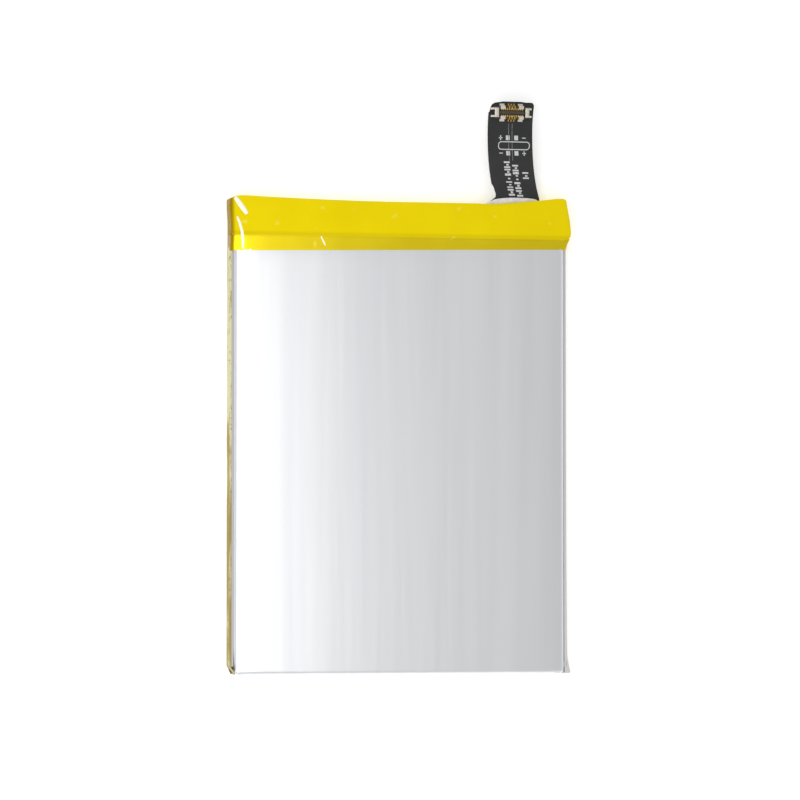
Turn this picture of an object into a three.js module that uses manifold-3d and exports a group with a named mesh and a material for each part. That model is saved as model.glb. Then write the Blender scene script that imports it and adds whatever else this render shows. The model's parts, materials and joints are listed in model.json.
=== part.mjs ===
// Slim lithium-ion polymer pouch cell with a flexible circuit tail, in millimetres.
// +X is the cell's width, +Y runs along its length towards the terrace and the tail,
// and +Z is its thickness. The origin is the centre of the pouch's flat back face.

import * as THREE from 'three';
import { mergeVertices } from 'three/addons/utils/BufferGeometryUtils.js';
import Module from 'manifold-3d';

const wasm = await Module();
wasm.setup();

// ---------- Driving sizes ----------

// The whole cell, without its tail
const CELL_WIDTH = 62;
const CELL_LENGTH = 85.5;
const CELL_THICKNESS = 4;
const TERRACE_DEPTH = 7.3;

// Clearances
const GAP = 0.04;         // between pieces that lie on each other
const FLEX_GAP = 0.15;    // from a bend line to the flexible circuit on each side of it
const OVERRUN = 1;        // how far a cutting shape runs past what it cuts
const MERGE_WITHIN = 1e-5;
const ROUND_OFF = 1e-6;

// Pouch laminate
const FILM = 0.12;
const SHOULDER = 1.6;       // radius of the drawn cup's long upper edges
const END_SHOULDER = 0.8;   // and of its upper edges at the two ends
const CUP_CORNER = 1.8;     // radius of its corners seen from the front
const WING_DROP = 0.7;      // from the front face down to the top of the folded side seals
const WING_GAP = 0.1;       // air between the cup's wall and its folded flange
const SEAL_ROOM = 2.3;      // from the laminate's edge to the cell's top edge
const SPREAD_RUN = 49;      // how far above the bottom the right seal starts to spring open
const SPREAD_KNEE_RUN = 3.5;  // and where it turns out more sharply
const SPREAD_AT_KNEE = 0.7;
const SPREAD_AT_END = 1.4;
const LEFT_TRIM = 2.4;      // the left seal is cut off short at the bottom

// Adhesive tapes
const TAPE = 0.06;
const SIDE_TAPE_DROP = 0.4;   // from the seals' top to the tape's
const SIDE_TAPE_LAP = 2.1;    // on the back
const STRIP_LAP = 1.9;        // how far the top wrap laps onto the front face
const BACK_LAP = 0.9;         // and onto the back
const WRAP_CREASE = 0.25;     // how proud of the strip the wrap stands over the board
const WRAP_CREASE_RUN = 0.3;
const WRAP_FALL = 0.95;       // how much lower the wrap is at the cell's top edge
const WRAP_BULGE = 0.7;       // the wrap's right end stands out sideways
const WRAP_LEFT_RISE = 0.65;  // the wrap's upper edge, from the cell's top edge
const WRAP_TAIL_DIP = 0.7;
const WRAP_RIGHT_DIP = 0.1;
const WRAP_CORNER = 1;

// Electrode roll
const ANODE = 0.11;
const CATHODE = 0.08;
const SEPARATOR = 0.02;
const LAYER_GAP = 0.01;
const GAPS_IN_TURN = 5;
const ROLL_SLIT = 0.13;        // half height of the slit left by the winding blade
const ROLL_SIDE_ROOM = 0.6;
const ROLL_FOOT_ROOM = 0.7;
const TAB_ROOM = 1;            // between the roll and the cup's end wall
const ROLL_START_RUN = 4;
const ROLL_END_RUN = 48;
const ANODE_MARGIN = 0.5;
const CATHODE_MARGIN = 1.5;
const ARC_STEPS = 6;           // flats in each half turn
const END_TAPE = 0.03;
const END_TAPE_WIDTH = 12;
const END_TAPE_MARGIN = 8;     // from the roll's ends

// Tabs and their sealing films
const TAB_WIDTH = 5;
const TAB_THICKNESS = 0.08;
const TAB_IN_ROLL = 45;        // length inside the roll
const TAB_FOLD_ROOM = 1.1;     // past the laminate's edge
const TAB_LANDING = 3.5;       // length folded back over its plate
const POSITIVE_TAB_FROM_EDGE = 17;
const NEGATIVE_TAB_FROM_TAIL = 13.9;
const TAB_FILM = 0.04;
const TAB_FILM_MARGIN = 0.4;
const TAB_FILM_SHOWS = 0.5;
const TUNNEL_MARGIN = 0.5;
const TAB_STEP = 0.4;

// Protection board and what surrounds it
const PAPER = 0.1;
const PAPER_INSET = 1.5;
const PAPER_ROOM = 1.96;       // from the papers to the cell's top edge
const BOARD_PAST_TAB = 12.5;   // beyond the positive tab's centre
const BOARD_PAST_TAIL = -0.2;  // beyond the tail's root
const BOARD_ROOM = 1.8;        // from the board to the cell's top edge
const BOARD_THICKNESS = 0.6;
const BOARD_INSET = 0.7;       // from the cup's end wall to the board
const PLATE_THICKNESS = 0.15;
const PLATE_DEPTH = 3.2;
const PLATE_MARGIN = 0.5;
const COVER_LIFT = 1.1;        // underside of the cover paper above the board
const FOAM_SHARE = 0.5745;     // of the height left free in the terrace, the rest is air under the wrap
const CHIP_EDGE = 0.4;         // from the board's long edges to the small chips
const CHIP_0402 = [0.5, 1, 0.35];
const CHIP_0603 = [1.6, 0.8, 0.5];
const FUSE = [3.2, 1.6, 0.6];
const MOSFET = [3, 3, 0.9];
const MOSFET_PITCH = 4.2;
const PROTECTION_IC = [2, 1.6, 0.6];
const PROTECTION_IC_STEP = 4.6;
const FUSE_STEP = 7.5;         // beyond the positive tab's centre
const RESISTOR_STEP = 9;
const RESISTOR_PITCH = 1.5;
const CAPACITOR_STEP = 4.6;    // beyond the negative tab's centre
const CAPACITOR_PITCH = 1.2;
const THERMISTOR_STEP = 5.8;

// Flexible circuit tail
const FLEX = 0.16;
const FLEX_MARGIN = 0.85;      // on each side of the connector
const FLEX_FLARE = 0.65;       // on each side, where the tail widens at its root
const FLEX_LANDING = 2.8;      // length soldered to the board
const TAIL_FROM_EDGE = 11.25;  // to the centre line, where its sideways bow is deepest
const TAIL_BOW = 2.25;
const TAIL_BOW_AT = 12.8;      // from the first bend
const EXIT_ROOM = 0.4;         // from the cell's top edge to the first bend
const LOWER_LENGTH = 6.6;
const UPPER_LENGTH = 6;
const HEAD_LENGTH = 5.1;
const LOWER_SLOPE = 22;        // degrees above the cell's plane
const UPPER_SLOPE = 12;
const HEAD_SLOPE = 4;
const HEAD_LEFT_CORNER = 1.6;
const HEAD_RIGHT_CORNER = 0.5;
const EDGE_STEPS = 6;
const SLOT_MARGIN = 0.4;
const STIFFENER = 0.25;
const STIFFENER_INSET = 0.12;

// Board-to-board connector
const CONNECTOR_LENGTH = 6.6;
const CONNECTOR_WIDTH = 2.2;
const CONNECTOR_HEIGHT = 0.8;
const CONNECTOR_FLOOR = 0.25;
const CONNECTOR_WALL = 0.35;
const CONNECTOR_END_MARGIN = 0.36;  // from its solder feet to the end of the tail
const ISLAND_END_ROOM = 0.65;
const ISLAND_SIDE_ROOM = 0.475;
const CONTACT = 0.08;
const CONTACT_DIP = 0.45;
const CONTACT_FOOT = 0.42;
const POWER_CONTACT_WIDTH = 0.9;
const POWER_CONTACT_X = 1.7;
const SIGNAL_CONTACT_WIDTH = 0.2;
const SIGNAL_PITCH = 0.5;
const SIGNALS_PER_SIDE = 3;
const HOLD_DOWN_WIDTH = 1.5;

// ---------- Places worked out from the sizes ----------

const BOTTOM = -CELL_LENGTH / 2;
const TOP = CELL_LENGTH / 2;
const CUP_TOP = TOP - TERRACE_DEPTH;
const SEAL_TOP = TOP - SEAL_ROOM;
const WRAP_LOW = CUP_TOP - STRIP_LAP;
const WRAP_BACK_LOW = CUP_TOP - BACK_LAP;
const WING_TOP = CELL_THICKNESS - WING_DROP;

const BACK_INSET = TAPE + GAP;                    // outer face of the back half's wings
const FLANGE_INSET = BACK_INSET + FILM + GAP;     // outer face of the cup's folded flange
const WALL_INSET = FLANGE_INSET + FILM + WING_GAP;
const CUP_HALF = CELL_WIDTH / 2 - WALL_INSET;
const CAVITY_HALF = CUP_HALF - FILM;

// The back stands out between its edges, so that the tapes around it lie flush with it
const RIM_Z = TAPE + GAP;
const PANEL_HALF = CELL_WIDTH / 2 - SIDE_TAPE_LAP - GAP;
const PANEL_TOP = WRAP_BACK_LOW - GAP;

const FLANGE_Z = RIM_Z + FILM + GAP;
const TAB_FILM_BACK_Z = RIM_Z + FILM + GAP / 2;
const TAB_Z = TAB_FILM_BACK_Z + TAB_FILM + LAYER_GAP + TAB_THICKNESS / 2;
const TAB_FILM_FRONT_Z = TAB_Z + TAB_THICKNESS / 2 + LAYER_GAP;
const TUNNEL_ROOF = TAB_FILM_FRONT_Z + TAB_FILM + GAP / 2;

const PAPER_LOW = CUP_TOP + GAP;
const PAPER_HIGH = TOP - PAPER_ROOM;
const PAPER_Z = TUNNEL_ROOF + FILM + GAP;
const FOAM_Z = PAPER_Z + PAPER + GAP;
const BOARD_LOW = CUP_TOP + BOARD_INSET;
const BOARD_HIGH = TOP - BOARD_ROOM;

// What height the papers, board and chips leave free is shared by the foam under the board
// and the air between the cover paper and the wrap
const CREASE_Y = CUP_TOP + WRAP_CREASE_RUN;
const WRAP_SLOPE = WRAP_FALL / (TOP + OVERRUN - CREASE_Y);
const WRAP_UNDERSIDE = CELL_THICKNESS + GAP + WRAP_CREASE - WRAP_SLOPE * (PAPER_HIGH - CREASE_Y);
const FREE_HEIGHT = WRAP_UNDERSIDE - FOAM_Z - BOARD_THICKNESS - COVER_LIFT - PAPER;
const BOARD_Z = FOAM_Z + FOAM_SHARE * FREE_HEIGHT;
const BOARD_TOP = BOARD_Z + BOARD_THICKNESS;
const COVER_Z = BOARD_TOP + COVER_LIFT;
const PLATE_Z = BOARD_TOP + GAP;
const LANDING_Z = PLATE_Z + PLATE_THICKNESS + GAP + TAB_THICKNESS / 2;

const FLEX_WIDTH = CONNECTOR_LENGTH + 2 * FLEX_MARGIN;
const FLEX_Z = BOARD_TOP + GAP + FLEX / 2;
const EXIT_Y = TOP + EXIT_ROOM;
const TAIL_LENGTH = LOWER_LENGTH + UPPER_LENGTH + HEAD_LENGTH;
const CONNECTOR_Z = FLEX / 2 + GAP / 2;
const CONNECTOR_REACH = CONNECTOR_WIDTH / 2 + GAP + CONTACT / 2 + CONTACT_FOOT;
const CONNECTOR_FROM_END = CONNECTOR_REACH + CONTACT / 2 + CONNECTOR_END_MARGIN;

const TAIL_ROOT_X = tailCentre(0);
const ROOT_HALF = FLEX_WIDTH / 2 + FLEX_FLARE;
const POSITIVE_TAB_X = POSITIVE_TAB_FROM_EDGE - CELL_WIDTH / 2;
const NEGATIVE_TAB_X = TAIL_ROOT_X - NEGATIVE_TAB_FROM_TAIL;
const BOARD_LEFT = POSITIVE_TAB_X - BOARD_PAST_TAB;
const BOARD_RIGHT = TAIL_ROOT_X + ROOT_HALF + BOARD_PAST_TAIL;

// ---------- Colours and finishes ----------

function material(color, roughness, metalness = 0) {
  return new THREE.MeshStandardMaterial({ color, roughness, metalness });
}

const laminate = material(0xdcdfe2, 0.35, 0.8);
const wrapTape = material(0xefd710, 0.3);
const sideTape = material(0xd9c35a, 0.35);
const copperGraphite = material(0x3a3634, 0.8);
const lithiumOxide = material(0x23242a, 0.75);
const separatorFilm = material(0xf2f3f1, 0.5);
const endTape = material(0x2f8f5a, 0.4);
const aluminium = material(0xd5d7d9, 0.35, 1);
const nickel = material(0xb9b5ab, 0.35, 1);
const sealant = material(0xe9e6da, 0.5);
const paper = material(0xcfc6ae, 0.9);
const foam = material(0x3c3c3e, 0.95);
const boardGreen = material(0x1f5d38, 0.45);
const chipBlack = material(0x1c1c1e, 0.5);
const fuseGreen = material(0x3f6f4a, 0.5);
const resistorBlack = material(0x202226, 0.4);
const capacitorTan = material(0xa88a62, 0.5);
const coverlay = material(0x2b2c2d, 0.35);
const stiffenerBlack = material(0x1f2021, 0.6);
const mouldedBlack = material(0x26221e, 0.5);
const gold = material(0xd8b45a, 0.3, 1);
const tinned = material(0xd6d0c4, 0.35, 1);

// ---------- Building solids ----------

// A closed three.js geometry as a solid that can be joined and cut
function solid(geometry) {
  const bare = geometry.clone();
  bare.deleteAttribute('normal');
  bare.deleteAttribute('uv');
  const merged = mergeVertices(bare, MERGE_WITHIN);
  const vertProperties = new Float32Array(merged.attributes.position.array);
  const triVerts = new Uint32Array(merged.index.array);
  return new wasm.Manifold(new wasm.Mesh({ numProp: 3, vertProperties, triVerts }));
}

function geometryOf(body) {
  const mesh = body.getMesh();
  const geometry = new THREE.BufferGeometry();
  geometry.setAttribute('position', new THREE.BufferAttribute(mesh.vertProperties, 3));
  geometry.setIndex(new THREE.BufferAttribute(mesh.triVerts, 1));
  return geometry;
}

function extrude(outline, depth, curveSegments = 4) {
  const shape = outline instanceof THREE.Shape ? outline : new THREE.Shape(outline);
  return new THREE.ExtrudeGeometry(shape, { depth, bevelEnabled: false, curveSegments });
}

// An outline in X and Y, raised from one height to another
function plate(outline, zLow, zHigh, curveSegments) {
  return extrude(outline, zHigh - zLow, curveSegments).translate(0, 0, zLow);
}

// An outline in X and Z, run along Y
function alongY(outline, yLow, yHigh, curveSegments) {
  const turn = new THREE.Matrix4().makeBasis(
    new THREE.Vector3(1, 0, 0), new THREE.Vector3(0, 0, 1), new THREE.Vector3(0, -1, 0));
  return extrude(outline, yHigh - yLow, curveSegments).applyMatrix4(turn).translate(0, yHigh, 0);
}

// An outline in Y and Z, run along X
function alongX(outline, xLow, xHigh, curveSegments) {
  const turn = new THREE.Matrix4().makeBasis(
    new THREE.Vector3(0, 1, 0), new THREE.Vector3(0, 0, 1), new THREE.Vector3(1, 0, 0));
  return extrude(outline, xHigh - xLow, curveSegments).applyMatrix4(turn).translate(xLow, 0, 0);
}

function box(xLow, xHigh, yLow, yHigh, zLow, zHigh) {
  return new THREE.BoxGeometry(xHigh - xLow, yHigh - yLow, zHigh - zLow)
    .translate((xLow + xHigh) / 2, (yLow + yHigh) / 2, (zLow + zHigh) / 2);
}

function points(...pairs) {
  return pairs.map(([x, y]) => new THREE.Vector2(x, y));
}

function rounded(xLow, xHigh, yLow, yHigh, radius) {
  const shape = new THREE.Shape();
  shape.absarc(xHigh - radius, yLow + radius, radius, -Math.PI / 2, 0);
  shape.absarc(xHigh - radius, yHigh - radius, radius, 0, Math.PI / 2);
  shape.absarc(xLow + radius, yHigh - radius, radius, Math.PI / 2, Math.PI);
  shape.absarc(xLow + radius, yLow + radius, radius, Math.PI, 1.5 * Math.PI);
  return shape;
}

// Square at the foot, rounded at the upper two corners
function domed(low, high, foot, height, radius) {
  const shape = new THREE.Shape();
  shape.moveTo(low, foot);
  shape.lineTo(high, foot);
  shape.absarc(high - radius, height - radius, radius, 0, Math.PI / 2);
  shape.absarc(low + radius, height - radius, radius, Math.PI / 2, Math.PI);
  return shape;
}

// A bent strip of even thickness, as the outline around its centre line
function strip(centreLine, thickness) {
  const left = [];
  const right = [];
  centreLine.forEach((point, index) => {
    const before = centreLine[Math.max(index - 1, 0)];
    const after = centreLine[Math.min(index + 1, centreLine.length - 1)];
    const arriving = (index > 0 ? point.clone().sub(before) : after.clone().sub(point)).normalize();
    const leaving = (after === point ? arriving.clone() : after.clone().sub(point)).normalize();
    const across = new THREE.Vector2(-arriving.y - leaving.y, arriving.x + leaving.x).normalize();
    const reach = thickness / 2 / (across.x * -arriving.y + across.y * arriving.x);
    left.push(point.clone().addScaledVector(across, reach));
    right.push(point.clone().addScaledVector(across, -reach));
  });
  return [...left, ...right.reverse()];
}

function named(name, geometry, finish) {
  const mesh = new THREE.Mesh(geometry, finish);
  mesh.name = name;
  return mesh;
}

// ---------- Electrode roll ----------

const PITCH = ANODE + CATHODE + 2 * SEPARATOR + GAPS_IN_TURN * LAYER_GAP;
const ROLL_Z = CELL_THICKNESS / 2;
const ROLL_ROOM = CELL_THICKNESS / 2 - FILM - GAP - END_TAPE;
const TURNS = Math.floor((ROLL_ROOM - ROLL_SLIT + LAYER_GAP) / PITCH + ROUND_OFF) - 1;
const ROLL_FLAT = CAVITY_HALF - ROLL_SIDE_ROOM - ROLL_ROOM;   // half the flat width
const ROLL_LOW = BOTTOM + FILM + ROLL_FOOT_ROOM;
const ROLL_HIGH = CUP_TOP - FILM - TAB_ROOM;

// One side of a wound layer: a flattened spiral that lies offset out from the innermost turn
function spiral(offset) {
  const line = [new THREE.Vector2(ROLL_START_RUN - ROLL_FLAT, ROLL_Z - ROLL_SLIT - offset)];
  for (let half = 0; half < 2 * TURNS; half += 1) {
    const centre = half % 2 === 0 ? ROLL_FLAT : -ROLL_FLAT;
    for (let step = 0; step <= ARC_STEPS; step += 1) {
      const turned = half + step / ARC_STEPS;
      const radius = ROLL_SLIT + offset + PITCH * turned / 2;
      const angle = Math.PI * (turned - 0.5);
      line.push(new THREE.Vector2(
        centre + radius * Math.cos(angle), ROLL_Z + radius * Math.sin(angle)));
    }
  }
  const outside = ROLL_SLIT + offset + PITCH * TURNS;
  line.push(new THREE.Vector2(ROLL_END_RUN - ROLL_FLAT, ROLL_Z - outside));
  return line;
}

function woundLayer(offset, thickness, margin) {
  const outline = [...spiral(offset), ...spiral(offset + thickness).reverse()];
  return alongY(outline, ROLL_LOW + margin, ROLL_HIGH - margin);
}

function electrodeRoll() {
  const anodeAt = LAYER_GAP * 2 + SEPARATOR;
  const outerAt = anodeAt + ANODE + LAYER_GAP;
  const cathodeAt = outerAt + SEPARATOR + LAYER_GAP;
  const outside = ROLL_Z - ROLL_SLIT - PITCH * (TURNS + 1);
  const endX = ROLL_END_RUN - ROLL_FLAT;
  const tapeTop = outside - GAP / 2;
  return [
    named('inner_separator', woundLayer(LAYER_GAP, SEPARATOR, 0), separatorFilm),
    named('anode_strip', woundLayer(anodeAt, ANODE, ANODE_MARGIN), copperGraphite),
    named('outer_separator', woundLayer(outerAt, SEPARATOR, 0), separatorFilm),
    named('cathode_strip', woundLayer(cathodeAt, CATHODE, CATHODE_MARGIN), lithiumOxide),
    named('roll_end_tape', box(endX - END_TAPE_WIDTH / 2, endX + END_TAPE_WIDTH / 2,
      ROLL_LOW + END_TAPE_MARGIN, ROLL_HIGH - END_TAPE_MARGIN, tapeTop - END_TAPE, tapeTop), endTape),
  ];
}

// ---------- Tabs ----------

// A tab lies in the roll's slit, steps down to the seal, and folds back over its plate
function tab(x) {
  const foldY = SEAL_TOP + TAB_FOLD_ROOM;
  const stepY = ROLL_HIGH + TAB_THICKNESS + GAP;
  const route = points(
    [ROLL_HIGH - TAB_IN_ROLL, ROLL_Z],
    [stepY, ROLL_Z],
    [stepY + TAB_STEP, TAB_Z],
    [foldY, TAB_Z],
    [foldY, LANDING_Z],
    [foldY - TAB_LANDING, LANDING_Z]);
  return alongX(strip(route, TAB_THICKNESS), x - TAB_WIDTH / 2, x + TAB_WIDTH / 2);
}

function tabFilm(x, zLow) {
  const half = TAB_WIDTH / 2 + TAB_FILM_MARGIN;
  return box(x - half, x + half, CUP_TOP + GAP, SEAL_TOP + TAB_FILM_SHOWS, zLow, zLow + TAB_FILM);
}

function nickelPlate(x) {
  const half = TAB_WIDTH / 2 + PLATE_MARGIN;
  const high = BOARD_HIGH - GAP;
  return box(x - half, x + half, high - PLATE_DEPTH, high, PLATE_Z, PLATE_Z + PLATE_THICKNESS);
}

function tabSet(sign, x, metal) {
  return [
    named(`${sign}_tab`, tab(x), metal),
    named(`${sign}_tab_film_back`, tabFilm(x, TAB_FILM_BACK_Z), sealant),
    named(`${sign}_tab_film_front`, tabFilm(x, TAB_FILM_FRONT_Z), sealant),
    named(`${sign}_plate`, nickelPlate(x), nickel),
  ];
}

// ---------- Pouch ----------

// How far the right side seal has sprung open at a place along the cell
const SPREAD = [
  [TOP, 0],
  [BOTTOM + SPREAD_RUN, 0],
  [BOTTOM + SPREAD_KNEE_RUN, SPREAD_AT_KNEE],
  [BOTTOM, SPREAD_AT_END],
];

function spreadAt(y) {
  const after = SPREAD.findIndex(([place]) => place <= y);
  const [yHigh, high] = SPREAD[Math.max(after - 1, 0)];
  const [yLow, low] = SPREAD[after];
  return yHigh === yLow ? low : THREE.MathUtils.mapLinear(y, yLow, yHigh, low, high);
}

function sideEdge(side, inset, yLow, yHigh) {
  const places = SPREAD.map(([place]) => place).filter((place) => place > yLow && place < yHigh);
  return [yHigh, ...places, yLow].map((y) => {
    const spread = side > 0 ? spreadAt(y) : 0;
    return new THREE.Vector2(side * (CELL_WIDTH / 2 - inset + spread), y);
  });
}

function sideWall(side, inset, thickness, yLow, yHigh, zLow, zHigh) {
  const outer = sideEdge(side, inset, yLow, yHigh);
  const inner = sideEdge(side, inset + thickness, yLow, yHigh).reverse();
  return plate([...outer, ...inner], zLow, zHigh);
}

function sheet(inset, yLow, yHigh, zLow) {
  const outline = [...sideEdge(1, inset, yLow, yHigh), ...sideEdge(-1, inset, yLow, yHigh).reverse()];
  return plate(outline, zLow, zLow + FILM);
}

function wings(inset, zLow) {
  const left = sideWall(-1, inset, FILM, BOTTOM + LEFT_TRIM, SEAL_TOP, zLow, WING_TOP);
  const right = sideWall(1, inset, FILM, BOTTOM, SEAL_TOP, zLow, WING_TOP);
  return solid(left).add(solid(right));
}

// The drawn cup's form, or with an inset the space inside it
function cupForm(inset, zLow) {
  const half = CUP_HALF - inset;
  const low = BOTTOM + inset;
  const high = CUP_TOP - inset;
  const crown = CELL_THICKNESS - inset;
  const across = alongY(domed(-half, half, zLow, crown, SHOULDER - inset), low, high);
  const along = alongX(domed(low, high, zLow, crown, END_SHOULDER - inset), -half, half);
  const plan = plate(rounded(-half, half, low, high, CUP_CORNER - inset), zLow, crown);
  return solid(across).intersect(solid(along)).intersect(solid(plan));
}

function pouchCup() {
  let cup = cupForm(0, FLANGE_Z).add(solid(sheet(FLANGE_INSET, BOTTOM, SEAL_TOP, FLANGE_Z)));
  cup = cup.add(wings(FLANGE_INSET, FLANGE_Z));
  const tunnels = [POSITIVE_TAB_X, NEGATIVE_TAB_X].map((x) => {
    const half = TAB_WIDTH / 2 + TUNNEL_MARGIN;
    const roof = box(x - half - FILM, x + half + FILM, CUP_TOP - FILM, SEAL_TOP,
      FLANGE_Z, TUNNEL_ROOF + FILM);
    cup = cup.add(solid(roof));
    return solid(box(x - half, x + half, CUP_TOP - 2 * FILM, SEAL_TOP + OVERRUN,
      -OVERRUN, TUNNEL_ROOF));
  });
  cup = cup.subtract(cupForm(FILM, -OVERRUN));
  tunnels.forEach((tunnel) => { cup = cup.subtract(tunnel); });
  return geometryOf(cup);
}

function pouchBack() {
  const panel = box(-PANEL_HALF, PANEL_HALF, BOTTOM, PANEL_TOP, 0, RIM_Z + FILM);
  const inside = box(FILM - PANEL_HALF, PANEL_HALF - FILM, BOTTOM + FILM, PANEL_TOP - FILM,
    FILM, CELL_THICKNESS);
  const rim = solid(sheet(BACK_INSET, BOTTOM, SEAL_TOP, RIM_Z));
  return geometryOf(rim.add(solid(panel)).add(wings(BACK_INSET, RIM_Z)).subtract(solid(inside)));
}

// A strip that holds a folded seal: up the side and a little way onto the back
function sideTapeStrip(side) {
  const low = BOTTOM + LEFT_TRIM;
  const high = WRAP_LOW - GAP;
  const upright = sideWall(side, 0, TAPE, low, high, 0, WING_TOP - SIDE_TAPE_DROP);
  const lap = sideWall(side, 0, SIDE_TAPE_LAP, low, high, 0, TAPE);
  return geometryOf(solid(upright).add(solid(lap)));
}

// ---------- Protection board ----------

function chip(name, x, y, [width, depth, height], finish) {
  const foot = BOARD_TOP + GAP;
  return named(name, box(x - width / 2, x + width / 2, y - depth / 2, y + depth / 2,
    foot, foot + height), finish);
}

function chipRow(kind, x, y, pitch, finish) {
  return [0, 1, 2].map((index) => (
    chip(`${kind}_${index + 1}`, x + index * pitch, y, CHIP_0402, finish)));
}

function protectionBoard() {
  const paperHalf = CELL_WIDTH / 2 - PAPER_INSET;
  const front = BOARD_LOW + CHIP_EDGE + CHIP_0402[1] / 2;
  const rear = BOARD_HIGH - CHIP_EDGE;
  const middle = (BOARD_LOW + BOARD_HIGH) / 2;
  const between = (POSITIVE_TAB_X + NEGATIVE_TAB_X) / 2;
  return [
    named('terrace_paper', box(-paperHalf, paperHalf, PAPER_LOW, PAPER_HIGH,
      PAPER_Z, PAPER_Z + PAPER), paper),
    named('foam_pad', box(BOARD_LEFT, BOARD_RIGHT, BOARD_LOW + GAP, BOARD_HIGH - GAP,
      FOAM_Z, BOARD_Z - GAP), foam),
    named('pcm_board', box(BOARD_LEFT, BOARD_RIGHT, BOARD_LOW, BOARD_HIGH,
      BOARD_Z, BOARD_TOP), boardGreen),
    named('cover_paper', box(BOARD_LEFT, BOARD_RIGHT, PAPER_LOW, PAPER_HIGH,
      COVER_Z, COVER_Z + PAPER), paper),
    chip('mosfet_left', between - MOSFET_PITCH, middle, MOSFET, chipBlack),
    chip('mosfet_right', between, middle, MOSFET, chipBlack),
    chip('protection_ic', between + PROTECTION_IC_STEP, middle, PROTECTION_IC, chipBlack),
    chip('fuse', POSITIVE_TAB_X - FUSE_STEP, rear - FUSE[1] / 2, FUSE, fuseGreen),
    chip('thermistor', NEGATIVE_TAB_X + THERMISTOR_STEP, rear - CHIP_0603[1] / 2,
      CHIP_0603, resistorBlack),
    ...chipRow('resistor', POSITIVE_TAB_X - RESISTOR_STEP, front, RESISTOR_PITCH, resistorBlack),
    ...chipRow('capacitor', NEGATIVE_TAB_X + CAPACITOR_STEP, front, CAPACITOR_PITCH, capacitorTan),
  ];
}

// ---------- Top wrap ----------

function wrapPlan(inset) {
  const side = CELL_WIDTH / 2 - inset;
  const bulge = side + WRAP_BULGE;
  const top = TOP - inset;
  const low = WRAP_LOW - (inset > 0 ? OVERRUN : 0);
  return points(
    [-side, low],
    [side, low],
    [side, CUP_TOP],
    [bulge, CUP_TOP + WRAP_CORNER],
    [bulge, top - WRAP_RIGHT_DIP - WRAP_CORNER],
    [bulge - WRAP_CORNER, top - WRAP_RIGHT_DIP],
    [TAIL_ROOT_X - ROOT_HALF, top - WRAP_TAIL_DIP],
    [WRAP_CORNER - side, top + WRAP_LEFT_RISE],
    [-side, top + WRAP_LEFT_RISE - WRAP_CORNER]);
}

function wrapProfile(inset) {
  const past = inset > 0 ? OVERRUN : 0;
  const far = TOP + OVERRUN;
  const face = CELL_THICKNESS + GAP + TAPE - inset;
  return points(
    [WRAP_BACK_LOW - past, inset],
    [far, inset],
    [far, face + WRAP_CREASE - WRAP_FALL],
    [CREASE_Y, face + WRAP_CREASE],
    [CUP_TOP, face],
    [WRAP_LOW - past, face]);
}

function wrapForm(inset) {
  const reach = CELL_WIDTH / 2 + WRAP_BULGE + OVERRUN;
  const profile = solid(alongX(wrapProfile(inset), -reach, reach));
  return profile.intersect(solid(plate(wrapPlan(inset), -OVERRUN, CELL_THICKNESS + OVERRUN)));
}

function topWrap() {
  const half = ROOT_HALF + SLOT_MARGIN;
  const slot = box(TAIL_ROOT_X - half, TAIL_ROOT_X + half, BOARD_HIGH, TOP + OVERRUN,
    FLEX_Z - FLEX / 2 - GAP, FLEX_Z + FLEX / 2 + SLOT_MARGIN / 2);
  return geometryOf(wrapForm(0).subtract(wrapForm(TAPE)).subtract(solid(slot)));
}

// ---------- Flexible circuit tail ----------

// The tail's centre line bows sideways as it runs out from the first bend
function tailCentre(run) {
  return CELL_WIDTH / 2 - TAIL_FROM_EDGE + TAIL_BOW * (1 - run / TAIL_BOW_AT) ** 2;
}

// A stretch of tail in its own plane, from start to end along the tail; bend lines are at runs
function tailStretch(run, start, end) {
  const left = [];
  const right = [];
  for (let step = 0; step <= EDGE_STEPS; step += 1) {
    const y = THREE.MathUtils.lerp(start, end, step / EDGE_STEPS);
    const centre = tailCentre(run + y);
    left.push(new THREE.Vector2(centre - FLEX_WIDTH / 2, y));
    right.push(new THREE.Vector2(centre + FLEX_WIDTH / 2, y));
  }
  return [...right, ...left.reverse()];
}

function tailRoot() {
  const centre = TAIL_ROOT_X;
  const half = FLEX_WIDTH / 2;
  const end = EXIT_Y - FLEX_GAP;
  const low = BOARD_HIGH - FLEX_LANDING;
  const outline = points(
    [centre - ROOT_HALF, low],
    [centre + ROOT_HALF, low],
    [centre + ROOT_HALF, TOP - EXIT_ROOM],
    [centre + half, end],
    [centre - half, end],
    [centre - ROOT_HALF, TOP - EXIT_ROOM]);
  return plate(outline, FLEX_Z - FLEX / 2, FLEX_Z + FLEX / 2);
}

// The head's outline is rounded at its far left corner and nearly square at its right one
function headOutline(inset) {
  const run = LOWER_LENGTH + UPPER_LENGTH;
  const start = FLEX_GAP + inset;
  const end = HEAD_LENGTH - inset;
  const left = tailCentre(run) - FLEX_WIDTH / 2 + inset;
  const right = tailCentre(run) + FLEX_WIDTH / 2 - inset;
  const lean = tailCentre(TAIL_LENGTH) - tailCentre(run);
  const shape = new THREE.Shape();
  shape.moveTo(left, start);
  shape.lineTo(right, start);
  shape.lineTo(right + lean, end - HEAD_RIGHT_CORNER);
  shape.quadraticCurveTo(right + lean, end, right + lean - HEAD_RIGHT_CORNER, end);
  shape.lineTo(left + lean + HEAD_LEFT_CORNER, end);
  shape.quadraticCurveTo(left + lean, end, left + lean, end - HEAD_LEFT_CORNER);
  return shape;
}

// ---------- Connector ----------

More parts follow.
